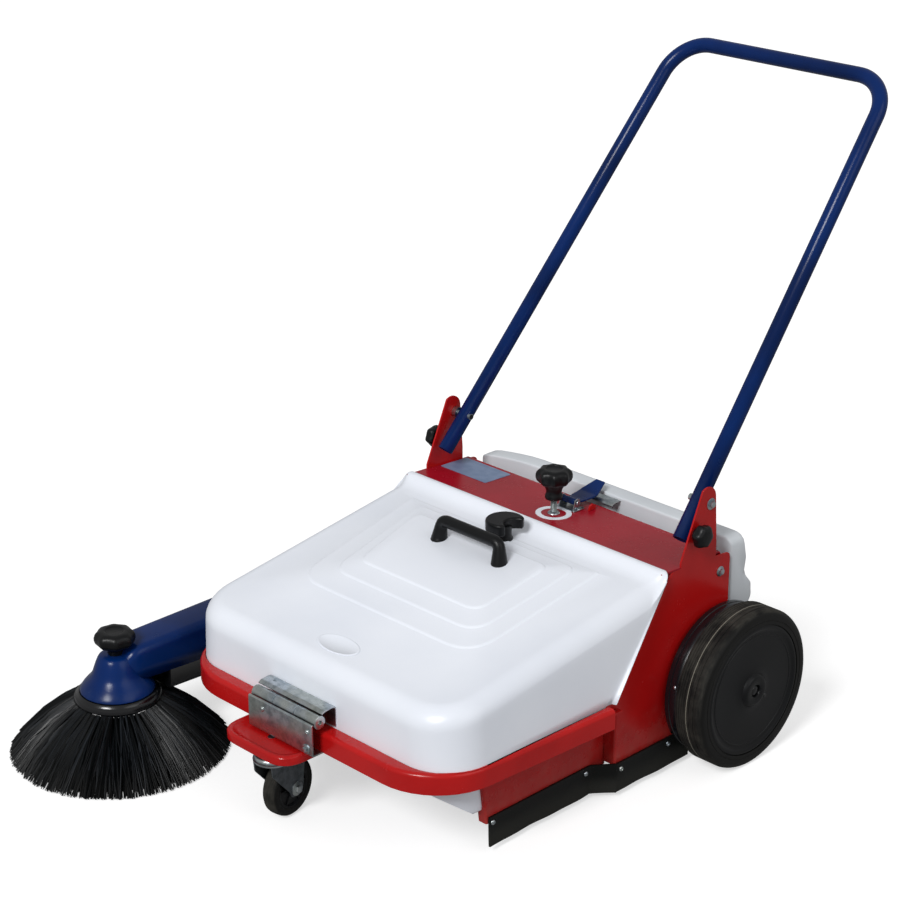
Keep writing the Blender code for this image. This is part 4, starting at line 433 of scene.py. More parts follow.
def soften(corners, radii, steps=5, closed=True):
    """A line whose corners are rounded: one radius for all of them, or one each."""
    count = len(corners)
    radii = radii if isinstance(radii, (list, tuple)) else [radii] * count
    line = []
    for i, (corner, radius) in enumerate(zip(corners, radii)):
        if not radius or (not closed and i in (0, count - 1)):
            line.append(Vector(corner))
            continue
        corner = Vector(corner)
        back, on = Vector(corners[i - 1]) - corner, Vector(corners[(i + 1) % count]) - corner
        half = back.angle(on) / 2
        reach = min(radius / math.tan(half), 0.48 * back.length, 0.48 * on.length)
        start, end = corner + back.normalized() * reach, corner + on.normalized() * reach
        for k in range(steps + 1):
            t = k / steps
            line.append(start.lerp(corner, t).lerp(corner.lerp(end, t), t))
    return line


def at(axis, a, b, along):
    """The point with a and b across an axis and a value along it."""
    return {"X": (along, a, b), "Y": (a, along, b), "Z": (a, b, along)}[axis]


# %% Places in a shape
def shift(*place):
    return Matrix.Translation(place)


def stretch(x, y, z):
    return Matrix.Diagonal((x, y, z, 1))


def clamp(value):
    return max(0.0, min(1.0, value))


def placed(shape, matrix):
    """A shape moved, turned or stretched by a matrix."""
    bmesh.ops.transform(shape, matrix=matrix, verts=shape.verts)
    return shape


def moved(shape, place, towards=(0, 0, 1), spin=0.0):
    """A shape made round the Z axis at the origin, put at a place and pointed along a direction."""
    turn = Vector((0, 0, 1)).rotation_difference(Vector(towards)).to_matrix().to_4x4()
    return placed(shape, Matrix.Translation(place) @ turn @ Matrix.Rotation(spin, 4, "Z"))


def edges_at(shape, axis, value):
    """The edges that lie in one plane: axis 0 is x, 1 is y and 2 is z."""
    return [edge for edge in shape.edges if all(abs(corner.co[axis] - value) < 0.01 for corner in edge.verts)]


def rounded(shape, edges, radius, segments):
    bmesh.ops.bevel(
        shape, geom=edges, offset=radius, segments=segments, profile=0.5, affect="EDGES", material=-1,
        clamp_overlap=True)


def capped(shape, axis, value):
    """A shape with the opening in one plane closed by a face."""
    bmesh.ops.contextual_create(shape, geom=edges_at(shape, axis, value))
    return shape


# %% Shapes: drawn, turned, skinned, tubular
def outward(shape, way=None):
    """The faces turned outwards, or along a direction."""
    bmesh.ops.recalc_face_normals(shape, faces=shape.faces)
    middle = sum((face.calc_center_median() for face in shape.faces), Vector()) / len(shape.faces)
    total = 0.0
    for face in shape.faces:
        aim = Vector(way) if way else face.calc_center_median() - middle
        total += face.calc_area() * face.normal.dot(aim)
    if total < 0:
        bmesh.ops.reverse_faces(shape, faces=shape.faces)
    return shape


def mirrored(shape, side):
    """The left side's shape, or its mirror image."""
    return outward(placed(shape, stretch(-1, 1, 1))) if side < 0 else shape


def drawn(outline, axis, low, high):
    """A closed outline drawn out along an axis."""
    shape = bmesh.new()
    face = shape.faces.new([shape.verts.new(at(axis, *spot, low)) for spot in outline])
    made = bmesh.ops.extrude_face_region(shape, geom=[face])["geom"]
    corners = [part for part in made if isinstance(part, bmesh.types.BMVert)]
    bmesh.ops.translate(shape, verts=corners, vec=at(axis, 0, 0, high - low))
    return outward(shape)


TILT = {"X": Matrix.Rotation(math.pi / 2, 4, "Y"), "Y": Matrix.Rotation(-math.pi / 2, 4, "X"), "Z": Matrix()}


def turned(profile, axis="Z", centre=(0, 0, 0), steps=48, ring=False):
    """A profile of (radius, along) points turned once about an axis."""
    shape = bmesh.new()
    spots = [shape.verts.new((r, 0, h)) for r, h in profile]
    pairs = list(zip(spots, spots[1:])) + ([(spots[-1], spots[0])] if ring else [])
    edges = [shape.edges.new(pair) for pair in pairs]
    bmesh.ops.spin(
        shape, geom=spots + edges, cent=(0, 0, 0), axis=(0, 0, 1), angle=math.tau, steps=steps,
        use_merge=True)
    bmesh.ops.remove_doubles(shape, verts=shape.verts, dist=1e-3)
    return outward(placed(shape, Matrix.Translation(centre) @ TILT[axis]))


def cylinder(radius, low, high, axis="Z", centre=(0, 0, 0), steps=24):
    return turned([(0, low), (radius, low), (radius, high), (0, high)], axis, centre, steps)


def hollow(inner, outer, low, high, axis="Z", centre=(0, 0, 0), steps=24):
    return turned([(inner, low), (outer, low), (outer, high), (inner, high)], axis, centre, steps, ring=True)


def skin(rows, around=False, over=False, ends=False):
    """A grid on rows of points. It may be closed along a row, or from the last row to the first."""
    rows = [[*row, row[0]] if around else list(row) for row in rows]
    rows = rows + [rows[0]] if over else rows
    shape = bmesh.new()
    grid = bmesh.ops.create_grid(shape, x_segments=len(rows[0]) - 1, y_segments=len(rows) - 1, size=1.0)
    for corner, spot in zip(grid["verts"], (spot for row in rows for spot in row)):
        corner.co = spot
    if around or over:
        bmesh.ops.remove_doubles(shape, verts=shape.verts, dist=1e-3)
    if ends:
        bmesh.ops.holes_fill(shape, edges=[edge for edge in shape.edges if edge.is_boundary], sides=0)
    return outward(shape)


def swept(paths, sides, caps):
    """Lines of (place, radius) points, given a round section by a curve's bevel, as one bmesh."""
    curve = bpy.data.curves.new("path", "CURVE")
    curve.dimensions, curve.bevel_depth, curve.bevel_resolution = "3D", 1.0, sides
    curve.use_fill_caps = caps
    for path in paths:
        spline = curve.splines.new("POLY")
        spline.points.add(len(path) - 1)
        for point, (spot, radius) in zip(spline.points, path):
            point.co, point.radius = (*spot, 1), radius
    guide = bpy.data.objects.new("path", curve)
    bpy.context.scene.collection.objects.link(guide)
    shape = bmesh.new()
    shape.from_mesh(guide.evaluated_get(bpy.context.evaluated_depsgraph_get()).to_mesh())
    bpy.data.objects.remove(guide)
    return shape


def tube(path, radius, sides, caps=True):
    """A round tube along a path. The radius is one number, or one for each point."""
    radii = radius if isinstance(radius, list) else [radius] * len(path)
    shape = swept([list(zip(path, radii))], sides, caps)
    bmesh.ops.remove_doubles(shape, verts=shape.verts, dist=1e-3)
    return outward(shape)


def welded(*shapes, gap=0.0):
    """Several shapes as one bmesh, with the corners that meet merged where a gap is given."""
    whole = bmesh.new()
    for shape in shapes:
        mesh = bpy.data.meshes.new("part")
        shape.to_mesh(mesh)
        shape.free()
        whole.from_mesh(mesh)
        bpy.data.meshes.remove(mesh)
    if gap:
        bmesh.ops.remove_doubles(whole, verts=whole.verts, dist=gap)
    return whole


def block(low, high):
    (x0, y0, z0), (x1, y1, z1) = low, high
    return drawn([(x0, y0), (x1, y0), (x1, y1), (x0, y1)], "Z", z0, z1)


# %% [markdown]
# ## The sheet steel body
# Each side plate is one bent sheet. So it starts as a flat outline with its front edges extruded inwards,
# and the fold between them is bevelled, as a press brake would round it. A Solidify modifier gives the
# sheet's thickness.

# %% Side plates
SHEET = 3
PLATE_X = 266.5
EAR = arc((102.2, 417.4), 19.5, 0, 125, 12)
PLATE_LINE = [
    *soften([(-87.8, 52), (161, 52), (161, 316.5), (128.2, 320)], [0, 10, 10, 6], 4)[:-1],
    (127.2, 342.9), *EAR, (47, 334), (47, 325), (26.4, 325), (-92, 150), (-87.8, 142.4)]


def folded(shape, edges, step, radius):
    """Sheet edges turned over by a step, with a rounded fold."""
    made = bmesh.ops.extrude_edge_only(shape, edges=edges)["geom"]
    corners = [part for part in made if isinstance(part, bmesh.types.BMVert)]
    bmesh.ops.translate(shape, verts=corners, vec=step)
    rounded(shape, edges, radius, 5)


for side, name in SIDES:
    plate = bmesh.new()
    plate.faces.new([plate.verts.new((side * PLATE_X, y, z)) for y, z in PLATE_LINE])
    front = [
        edge for edge in plate.edges
        if all(corner.co.y < 27 for corner in edge.verts) and any(corner.co.z > 60 for corner in edge.verts)]
    folded(plate, front, (-side * 22, 0, 0), 4)
    outward(plate, (side, 0, 0))
    piece(
        f"side_plate_{name}_sheet", plate, RED, "chassis", [f"side_plate_{name}"],
        bevel=0.7, wall=SHEET, angle=40)
print("Side plates:", faces_made["side_plate_left_sheet"], "faces each")

# %% [markdown]
# The deck lies on the side plates and is notched round their ears. Its outline is drawn flat, then every
# corner is lifted to the slope of the sheet, and the rear edge is folded down.

# %% Deck
DECK_FRONT, DECK_REAR = 4, 141.7
DECK_SLOPE = (322.8 - 329.2) / (DECK_REAR - DECK_FRONT)


def deck_z(y):
    return 329.2 + DECK_SLOPE * (y - DECK_FRONT)


half = [(263.2, DECK_REAR), (263.2, 49), (PLATE_X, 46), (PLATE_X, DECK_FRONT)]
deck_line = soften(half + [(-x, y) for x, y in reversed(half)], [0, 2, 1, 0, 0, 1, 2, 0], 3)
deck = bmesh.new()
deck.faces.new([deck.verts.new((x, y, deck_z(y))) for x, y in deck_line])
folded(deck, edges_at(deck, 1, DECK_REAR), (0, 0, -22), 4)
outward(deck, (0, 0, 1))
piece("deck_sheet", deck, DECK_RED_SHADED, "chassis", ["deck_panel"], bevel=0.6, wall=SHEET, angle=40)
print("Deck:", faces_made["deck_sheet"], "faces")

# %% [markdown]
# The red band round the hopper is a U in plan whose section never changes: an upright wall with a rolled
# shoulder. A skin over the same plan line at several insets and heights gives the wall, the roll and the
# shoulder in one. The plan helper draws such a U, with rounded front corners and sides that part a little
# towards the rear.

# %% Plan of the band and of the cover
RING_REAR = -124.5


def splayed(half, splay, front, rear, radius):
    """A U in plan, given by its half width, the splay of its sides, its front, its rear and its corners."""
    lean = math.atan(splay)
    middle_y = front + radius
    middle_x = half + splay * (middle_y - RING_REAR) - radius / math.cos(lean)
    left = arc((middle_x, middle_y), radius, -math.degrees(lean), -90, 10)
    right = [(-x, y) for x, y in reversed(left)]
    rear_x = half + splay * (rear - RING_REAR)
    return [(rear_x, rear), *left, *right, (-rear_x, rear)]


def ring_plan(inset):
    return splayed(297.7 - inset, 0.0555, inset - 467, RING_REAR, 108 - inset)


def cover_plan(inset, rear=RING_REAR):
    return splayed(282 - inset, 0.0111, inset - 443.1, rear, 76.5 - inset)


def level_row(plan, z):
    return [(x, y, z) for x, y in plan]


# %% Band with its rolled shoulder
LEDGE_X, LEDGE_LOW, LEDGE_HIGH, TAIL_END = 247.5, 143.7, 146.7, -88.1
roll = [(6.5 * (1 - across), 163.5 + 6.5 * up) for across, up in arc((0, 0), 1, 0, 90, 5)]
foot_roll = [(3, 140), (2.2, 138.3), (0.8, 138.4), (0.1, 139.1)]
rows = [level_row(ring_plan(inset), z) for inset, z in foot_roll + roll]
rows += [level_row(cover_plan(inset), z) for inset, z in ((-2.2, 170), (-1.2, 169.4), (-1.2, 164))]
band = skin([*rows, level_row(ring_plan(3), 164)], over=True, ends=True)
ledge_in = splayed(LEDGE_X, 0, -432, RING_REAR, 56.5)
ledge = drawn(ring_plan(1.5) + ledge_in[::-1], "Z", LEDGE_LOW, LEDGE_HIGH)
tails = []
for side in (-1, 1):
    tails.append(block((side * LEDGE_X, -126.5, LEDGE_LOW), (side * PLATE_X, TAIL_END, LEDGE_HIGH)))
    tails.append(block((side * (PLATE_X - SHEET), RING_REAR, LEDGE_LOW), (side * PLATE_X, TAIL_END, 169)))
piece("hopper_band", welded(band, ledge, *tails), RED, "chassis", ["front_frame"], bevel=0.5, angle=50)
print("Band:", faces_made["hopper_band"], "faces")

# %% [markdown]
# The lip in front is pressed: its rim stands a little proud of a dished middle. Loops of the same rounded
# outline, each one further in, carry the section from the outer wall over the rim to the dish.

# %% Front lip
DISH_Z = 137.8
LIP_SECTION = [
    (3, 126.2), (0.6, 126), (0, 126.8), (0, 137), (0.8, 138.6), (2.8, 139.8), (5, 140), (7.2, 139.4),
    (9.5, 138.2), (13, DISH_Z)]


def lip_loop(inset, z):
    low_x, high_x, front, rear = inset - 105, 40 - inset, inset - 525.5, -445
    corners = [(high_x, rear), (high_x, front), (low_x, front), (low_x, rear)]
    return level_row(soften(corners, [0, 50 - inset, 50 - inset, 0], 10), z)


lip = capped(skin([lip_loop(inset, z) for inset, z in LIP_SECTION]), 2, DISH_Z)
outward(lip, (0, 0, 1))
piece("front_lip", lip, RED, "chassis", ["caster_lip"], wall=2.8, angle=30)
print("Front lip:", faces_made["front_lip"], "faces")

# %% [markdown]
# Under the band hangs a folded panel on each side, with a flange turned in at its front, and a rubber strip
# is screwed to it that follows the floor. The rubber sags a little between its screws, so its low edge is
# waved.

# %% Skirt panels and rubbers
SKIRT_X, PANEL_FOOT, PANEL_REAR = PLATE_X - 22.3, 46, -84.5
SHELF = soften([(SKIRT_X, PANEL_FOOT), (SKIRT_X, 143.1), (275.7, 143.1)], 4, 5, closed=False)


def panel_row(side, tuck, rear=None):
    """One upright row of a side panel. Its front edge leans forward as it rises."""
    return [(side * (x - tuck), rear or max(-331 - 0.128 * (z - PANEL_FOOT), -344), z) for x, z in SHELF]


for side, name in SIDES:
    panel = skin([panel_row(side, 15), panel_row(side, 0), panel_row(side, 0, PANEL_REAR)])
    fold = [
        edge for edge in panel.edges
        if len(edge.link_faces) == 2 and edge.calc_face_angle(0) > 1.0
        and abs(edge.verts[0].co.z - edge.verts[1].co.z) > 10]
    rounded(panel, fold, 3, 4)
    outward(panel, (side, 0, 0))
    piece(
        f"skirt_panel_{name}_sheet", panel, RED, "chassis", [f"skirt_panel_{name}"],
        bevel=0.5, wall=SHEET, angle=40)

RUBBER_TOP, RUBBER_HEIGHT, WAVE_STEP = 57, 47, 14
RUBBER_PATH = soften([(244.7, -328), (244.7, -118), (269, -88), (269, 74)], 12, 5, closed=False)
run = []
for start, end in zip(RUBBER_PATH, RUBBER_PATH[1:]):
    cuts = max(1, round((end - start).length / WAVE_STEP))
    run += [start.lerp(end, k / cuts) for k in range(cuts)]
run.append(RUBBER_PATH[-1])
wave = random.Random(4)
for side, name in SIDES:
    phase = wave.uniform(0, 6)
    rows = []
    for z in (57, 50, 40, 30, 20, 10.2):
        sag = ((RUBBER_TOP - z) / RUBBER_HEIGHT) ** 2
        row = []
        for i, spot in enumerate(run):
            ripple = math.sin(0.55 * i + phase) + 0.6 * math.sin(1.3 * i + 2 * phase)
            row.append((side * (spot.x + SHEET + sag * ripple), spot.y, z))
        rows.append(row)
    rubber = outward(skin(rows), (side, 0, 0))
    piece(
        f"skirt_rubber_{name}_strip", rubber, SKIRT, "chassis", [f"skirt_rubber_{name}"],
        bevel=0.4, wall=SHEET, angle=50)
print("Skirts:", faces_made["skirt_panel_left_sheet"], faces_made["skirt_rubber_left_strip"], "faces")

# %% [markdown]
# ## The hopper's cover
# The cover is one moulding with a wall of a few millimetres. Its skin is built in three runs that meet
# corner to corner: the upright walls with the large edge radius, the sloping top with three raised steps,
# and the flange that flares out round the mouth at the rear. A Solidify modifier then gives the wall.

# %% Walls and edge radius
FOOT, EDGE_R, TOP_0, TOP_SLOPE = 170.4, 28, 321.5, 0.150
MOUTH_Y, MOUTH_Z, MOUTH_LEAN = 14.7, 332.2, 0.783
SIDE_DEPTH, TOP_DEPTH = 16, 34.1
BAND_TOP, TAPER = 170, 0.00016
EDGE_STEPS = 10


def cover_z(y):
    return TOP_0 + TOP_SLOPE * y


def cover_row(base, slope, inset, depth):
    """A plan line of the walls on a level or sloping plane, cut off just before the mouth."""
    rear = (MOUTH_Y + MOUTH_LEAN * (base - MOUTH_Z) - depth) / (1 - MOUTH_LEAN * slope)
    row = []
    for x, y in cover_plan(inset, rear):
        z = base + slope * y
        row.append((x * (1 - TAPER * (z - BAND_TOP)), y, z))
    return row


foot_row = cover_row(150.3, 0, 0, SIDE_DEPTH)
for i in (0, -1):
    foot_row[i] = (foot_row[i][0], -128, foot_row[i][2])
wall_rows, arch = [foot_row], []
for share in (0, 0.12, 0.30, 0.50, 0.70, 0.88, 1.0):
    base = FOOT + share * (TOP_0 - EDGE_R - FOOT)
    wall_rows.append(cover_row(base, TOP_SLOPE * share, 0, SIDE_DEPTH))
    arch.append((wall_rows[-1][0], 0.0))
EDGE_Z = arch[-1][0][2]
for i in range(1, EDGE_STEPS + 1):
    turn = math.pi / 2 * i / EDGE_STEPS
    base, inset = TOP_0 - EDGE_R * (1 - math.sin(turn)), EDGE_R * (1 - math.cos(turn))
    depth = SIDE_DEPTH + (TOP_DEPTH - SIDE_DEPTH) * math.sin(turn) ** 2
    wall_rows.append(cover_row(base, TOP_SLOPE, inset, depth))
    arch.append((wall_rows[-1][0], turn))
walls = skin(wall_rows)
print("Cover's walls:", len(wall_rows), "rows")

# %% Sloping top with its raised steps
STEP_RISE, STEP_LEAN = 2.5, 28
STEPS = [
    ((-186, 183, -301.5, -34.5), 55, 4), ((-154, 150, -260, -47), 40, 20),
    ((-137, 115, -222, -69), 27, 18)]
STEP_SECTION = [(0.0, 0.0), (0.7, 0.3), (2.1, 1.5), (3.4, 2.2), (4.8, 2.5)]


def step_loop(size, front_r, rear_r, inset, rise):
    x0, x1, y0, y1 = size[0] + inset, size[1] - inset, size[2] + inset, size[3] - inset
    front, rear = front_r - inset, max(rear_r - inset, 1)
    line = soften([(x0, y0), (x1, y0), (x1, y1), (x0 - STEP_LEAN, y1)], [front, front, rear, rear], 8)
    return [(x, y, cover_z(y) + rise) for x, y in line]


def flat_between(outer, inner=None):
    """A flat face between two closed lines, or inside one."""
    shape = bmesh.new()
    for line in filter(None, (outer, inner)):
        spots = [shape.verts.new(spot) for spot in line]
        for one, other in zip(spots, spots[1:] + spots[:1]):
            shape.edges.new((one, other))
    bmesh.ops.triangle_fill(
        shape, use_beauty=True, use_dissolve=False, edges=shape.edges[:], normal=(0, -TOP_SLOPE, 1))
    return shape


edge_row = wall_rows[-1]
TOP_CELLS = 14
rear_line = [Vector(edge_row[-1]).lerp(Vector(edge_row[0]), i / TOP_CELLS) for i in range(1, TOP_CELLS)]
outer, top_parts = [*edge_row, *rear_line], []
for count, sizes in enumerate(STEPS):
    loops = [step_loop(*sizes, inset, rise + count * STEP_RISE) for inset, rise in STEP_SECTION]
    top_parts += [flat_between(outer, loops[0]), skin(loops, around=True)]
    outer = loops[-1]
top_parts.append(flat_between(outer))

# %% Flange round the mouth
FLARE = [
    (0, 0, 0), (0.22, 0, 0.03), (0.44, 0.01, 0.17), (0.60, 0.03, 0.43), (0.68, 0.07, 0.64),
    (0.73, 0.13, 0.76), (0.78, 0.23, 0.87), (0.83, 0.42, 0.95), (0.88, 0.66, 0.99), (0.92, 0.86, 1),
    (0.95, 0.96, 1), (0.97, 1, 1), (1, 1, 1)]
MOUTH_R, MOUTH_FOOT_X, MOUTH_TOP_X = 12, 289, 274.7
other_side = [((-spot[0], *spot[1:]), math.pi - turn) for spot, turn in reversed(arch)]
arch += [(tuple(spot), math.pi / 2) for spot in reversed(rear_line)] + other_side


def mouth_point(x, z):
    return x, MOUTH_Y + MOUTH_LEAN * (z - MOUTH_Z), z


def flange_target(spot, turn):
    """Where the flange ends for one point of the arch: on the mouth's slanted plane."""
    side = 1 if spot[0] > 0 else -1
    if min(turn, math.pi - turn) < 1e-6:
        z = FOOT + (spot[2] - FOOT) / (EDGE_Z - FOOT) * (MOUTH_Z - MOUTH_R - FOOT)
        out = (MOUTH_TOP_X - MOUTH_FOOT_X) * (z - BAND_TOP) / (MOUTH_Z - BAND_TOP)
        return mouth_point(side * (MOUTH_FOOT_X + out), z)
    if abs(turn - math.pi / 2) < 1e-6:
        return mouth_point(spot[0] * (MOUTH_TOP_X - MOUTH_R) / edge_row[0][0], MOUTH_Z)
    z = MOUTH_Z - MOUTH_R * (1 - math.sin(turn))
    return mouth_point(MOUTH_TOP_X * side + MOUTH_R * (math.cos(turn) - side), z)


flange_rows = []
for along, side_out, top_out in FLARE:
    row = []
    for spot, turn in arch:
        start, end = Vector(spot), Vector(flange_target(spot, turn))
        way = Vector((math.cos(turn), 0, math.sin(turn)))
        run = end - start
        outwards = way * run.dot(way)
        out = side_out + (top_out - side_out) * math.sin(turn)
        row.append(start + (run - outwards) * along + outwards * out)
    flange_rows.append(row)
flange = skin(flange_rows)
cover = welded(walls, *top_parts, flange, gap=2e-2)
outward(cover)
piece("hopper_cover_moulding", cover, WHITE, "hopper", ["hopper_cover"], wall=2.7, angle=30)
print("Cover:", faces_made["hopper_cover_moulding"], "faces")

# %% [markdown]
# Where the photograph has an oval badge, the moulding keeps a plain oval seat, with nothing on it. A turned
# disc is stretched to an oval and laid on the sloping top.

# %% Bare badge seat
SEAT_Y = -390
seat = turned([(0, 0), (0.98, 0), (1.0, 0.6), (0.97, 1.2), (0.90, 1.2), (0.87, 0.6), (0, 0.6)], steps=64)
on_cover = shift(7, SEAT_Y, cover_z(SEAT_Y) - 0.1) @ Matrix.Rotation(math.atan(TOP_SLOPE), 4, "X")
piece("bare_badge_seat", placed(seat, on_cover @ stretch(40, 19.5, 1)), WHITE, "hopper", angle=50)

# %% [markdown]
# ## The tub under the cover
# The tub is a skin over the same kind of plan, open at its top. Its floor and the low part of its rear are
# closed, one plane cuts its nose off, and the Solidify modifier makes the wall. A thin rim carries it on
# the band's ledge.

# %% Tub
TUB_REAR, TUB_FLOOR = -102, 64
TUB_SECTION = ((12, TUB_FLOOR), (4.5, 65.2), (1, 69), (0, 76), (0, 86), (0, 149.5))
tub = skin([
    level_row(splayed(238.5 - inset, 0, inset - 418.5, TUB_REAR, 85 - inset), z) for inset, z in TUB_SECTION])
capped(tub, 2, TUB_FLOOR)
rear = []
for _, z in TUB_SECTION[:5]:
    level = [c for c in tub.verts if abs(c.co.z - z) < 0.01 and abs(c.co.y - TUB_REAR) < 0.1]
    level.sort(key=lambda corner: corner.co.x)
    rear.append((level[0], level[-1]))
for (a, b), (d, c) in zip(rear, rear[1:]):
    tub.faces.new((a, b, c, d))
nose, across = Vector((0, -345, TUB_FLOOR)), Vector((0, -68.7, -93.5)).normalized()
everything = tub.verts[:] + tub.edges[:] + tub.faces[:]
bmesh.ops.bisect_plane(tub, geom=everything, dist=0.086, plane_co=nose, plane_no=across, clear_outer=True)
cut = [
    edge for edge in tub.edges
    if edge.is_boundary and all(abs((corner.co - nose).dot(across)) < 0.1 for corner in edge.verts)]
bmesh.ops.holes_fill(tub, edges=cut, sides=0)
outward(tub)
piece("hopper_tub_moulding", tub, WHITE, "hopper", ["hopper_tub"], bevel=4, wall=2.8, angle=28)
rim_in = splayed(237, 0, -417, RING_REAR, 83.5)
rim = drawn(cover_plan(0.4) + rim_in[::-1], "Z", 147, 149.8)
piece("hopper_tub_rim", rim, WHITE, "hopper", bevel=0.5)
print("Tub:", faces_made["hopper_tub_moulding"], "faces")

# %% [markdown]
# ## The dust drawer
# The white tank behind the deck has one section all along, and it closes in at both ends. So the skin is a
# row of copies of that section, shrunk about its middle towards the ends. Its top also falls a little to
# the right.

# %% Tank and tray
TANK_X, TANK_FRONT, TANK_FLOOR = 262, 166.5, 208.5
SECTION = soften(
    [(TANK_FRONT, TANK_FLOOR), (190, 201), (220, 201.5), (229, 216), (229, 240), (216.5, 258),
     (211.5, 274), (210.5, 302), (200.5, 334), (TANK_FRONT, 334)],
    [4, 6, 10, 10, 10, 10, 8, 10, 12, 4], 5)
MIDDLE = Vector((195, 262))


def tank_row(x, shrink):
    """The section at one x, shrunk towards its middle, with the top's droop at the right end."""
    droop = 12 * clamp((-150 - x) / 100) ** 1.5
    row = []
    for spot in SECTION:
        away = spot - MIDDLE
        y, z = MIDDLE + away * (1 - shrink / away.length)
        row.append((x, max(y, TANK_FRONT), z - droop * max(0.0, (z - 280) / 54)))
    return row


ends = [(0, 15.5), (0.8, 11), (3, 6.5), (7, 2.8), (12, 0.8), (18, 0)]
rows = [tank_row(gap - TANK_X, shrink) for gap, shrink in ends]
rows += [tank_row(x, 0) for x in (-225, -200, -175, -150, -50, 50, 150)]
rows += [tank_row(TANK_X - gap, shrink) for gap, shrink in reversed(ends)]
tank = skin(rows, around=True, ends=True)
tray_line = soften([(230, -4), (230, 168), (-230, 168), (-230, -4)], [10, 0, 0, 10], 5)
tray = skin([level_row(tray_line, z) for z in (290, TANK_FLOOR)], around=True)
piece("dust_drawer_tray", outward(capped(tray, 2, TANK_FLOOR)), TANK, "drawer", bevel=2, wall=2.5)
piece("dust_drawer_tank", tank, TANK, "drawer", ["dust_drawer"], angle=40)
print("Drawer:", faces_made["dust_drawer_tank"], "faces")

# %% [markdown]
# ## The push handle
# The handle is one tube with two smooth bends. A curve with a round bevel sweeps it, and becomes a mesh.
# The tube is left open at its ends and gets its wall by Solidify, because one looks into it above the deck.

# %% Handle tube
def bent(points, radius, steps):
    """A path through points in space, whose corners are true arcs of one radius."""
    path = [points[0]]
    for before, corner, after in zip(points, points[1:], points[2:]):
        back, on = (before - corner).normalized(), (after - corner).normalized()
        half = back.angle(on) / 2
        middle = corner + (back + on).normalized() * radius / math.sin(half)
        start, end = (corner + way * radius / math.tan(half) - middle for way in (back, on))
        turn = start.rotation_difference(end)
        for i in range(steps + 1):
            path.append(middle + Matrix.Rotation(turn.angle * i / steps, 3, turn.axis) @ start)
    return [*path, points[-1]]


HANDLE_END, HANDLE_TOP = Vector((245.2, 68.9, 358)), Vector((208.1, 576.5, 948.9))
flip = Matrix.Diagonal((-1, 1, 1))
path = bent([HANDLE_END, HANDLE_TOP, flip @ HANDLE_TOP, flip @ HANDLE_END], 65, 20)
handle = tube(path, 12.22, 8, caps=False)
piece("handle_tube_bent", handle, BLUE, "handle", ["handle_tube"], wall=1.5, angle=50)
print("Handle:", faces_made["handle_tube_bent"], "faces")

# %% [markdown]
# ## Fasteners
# Small bolts and screws give the scale away, so each kind is made once by a function. A hexagon head is a
# six-sided cylinder with a chamfer, on a washer. A pan head is turned, and two small bars make its cross.

# %% Bolt heads and screw heads
def hex_bolt(place, towards, size, tall, washer=1.2, spin=0.2):
    """A hexagon head on a washer. Its size is the distance across flats."""
    across = size / 2 / math.cos(math.pi / 6)
    head = bmesh.new()
    bmesh.ops.create_cone(head, cap_ends=True, segments=6, radius1=across, radius2=across, depth=tall)
    rounded(head, edges_at(head, 2, tall / 2), tall * 0.16, 2)
    parts = [placed(head, shift(0, 0, tall / 2 + washer))]
    if washer:
        rim = size * 0.95
        parts.append(turned([(0, 0), (rim, 0), (rim, 0.9), (rim - 0.4, washer), (0, washer)], steps=24))
    return moved(welded(*parts), place, towards, spin)


def pan_screw(place, towards, radius, spin):
    """A domed head with a cross on it."""
    dome = [(radius * x, radius * 0.62 * y) for x, y in arc((0, 0), 1, 0, 90, 5)]
    parts = [turned([(0, -0.4), (radius, -0.4), *dome], steps=20)]
    for w, h in ((radius * 0.5, radius * 0.13), (radius * 0.13, radius * 0.5)):
        parts.append(block((-w, -h, radius * 0.57), (w, h, radius * 0.66)))
    return moved(welded(*parts), place, towards, spin)


BOLT, STUD = (0, 109.7, 408.9), (0, 79.2, 370.1)
leg_x = HANDLE_END.lerp(HANDLE_TOP, (BOLT[2] - HANDLE_END.z) / (HANDLE_TOP.z - HANDLE_END.z)).x
for side, name in SIDES:
    head = hex_bolt((side * PLATE_X, *BOLT[1:]), (side, 0, 0), 9.5, 4.5)
    shank = mirrored(cylinder(5, leg_x - 15, PLATE_X, "X", BOLT, 16), side)
    spacer = mirrored(hollow(5.2, 9, leg_x + 13, 263.2, "X", BOLT), side)
    bolt = welded(head, shank, spacer)
    piece(f"handle_bolt_{name}_set", bolt, ZINC, "chassis", [f"handle_bolt_{name}"], angle=30)
    nut = hex_bolt((side * (leg_x - 12), *BOLT[1:]), (-side, 0, 0), 8, 3.6, washer=0)
    piece(f"handle_bolt_{name}_nut", nut, BLACK, "chassis", angle=30)

# %% [markdown]
# ## Knobs, grip and latch
# The star knobs are lathe forms whose radius swings with the angle, so the skin takes rings of lobed
# outlines. How deep the lobes are follows the radius, which fades them out towards the middle of the head.

# %% Star knobs
def lobed(profile, lobes, depth, steps=8):
    """Rings of (radius, along) whose radius swings in and out, closed at both ends."""
    rim = max(r for r, _ in profile)
    rows = []
    for r, h in profile:
        row = []
        for i in range(lobes * steps):
            angle = math.tau * i / (lobes * steps)
            reach = r - depth * (r / rim) ** 3 * abs(math.sin(lobes * angle / 2)) ** 1.4
            row.append((reach * math.cos(angle), reach * math.sin(angle), h))
        rows.append(row)
    return skin(rows, around=True, ends=True)


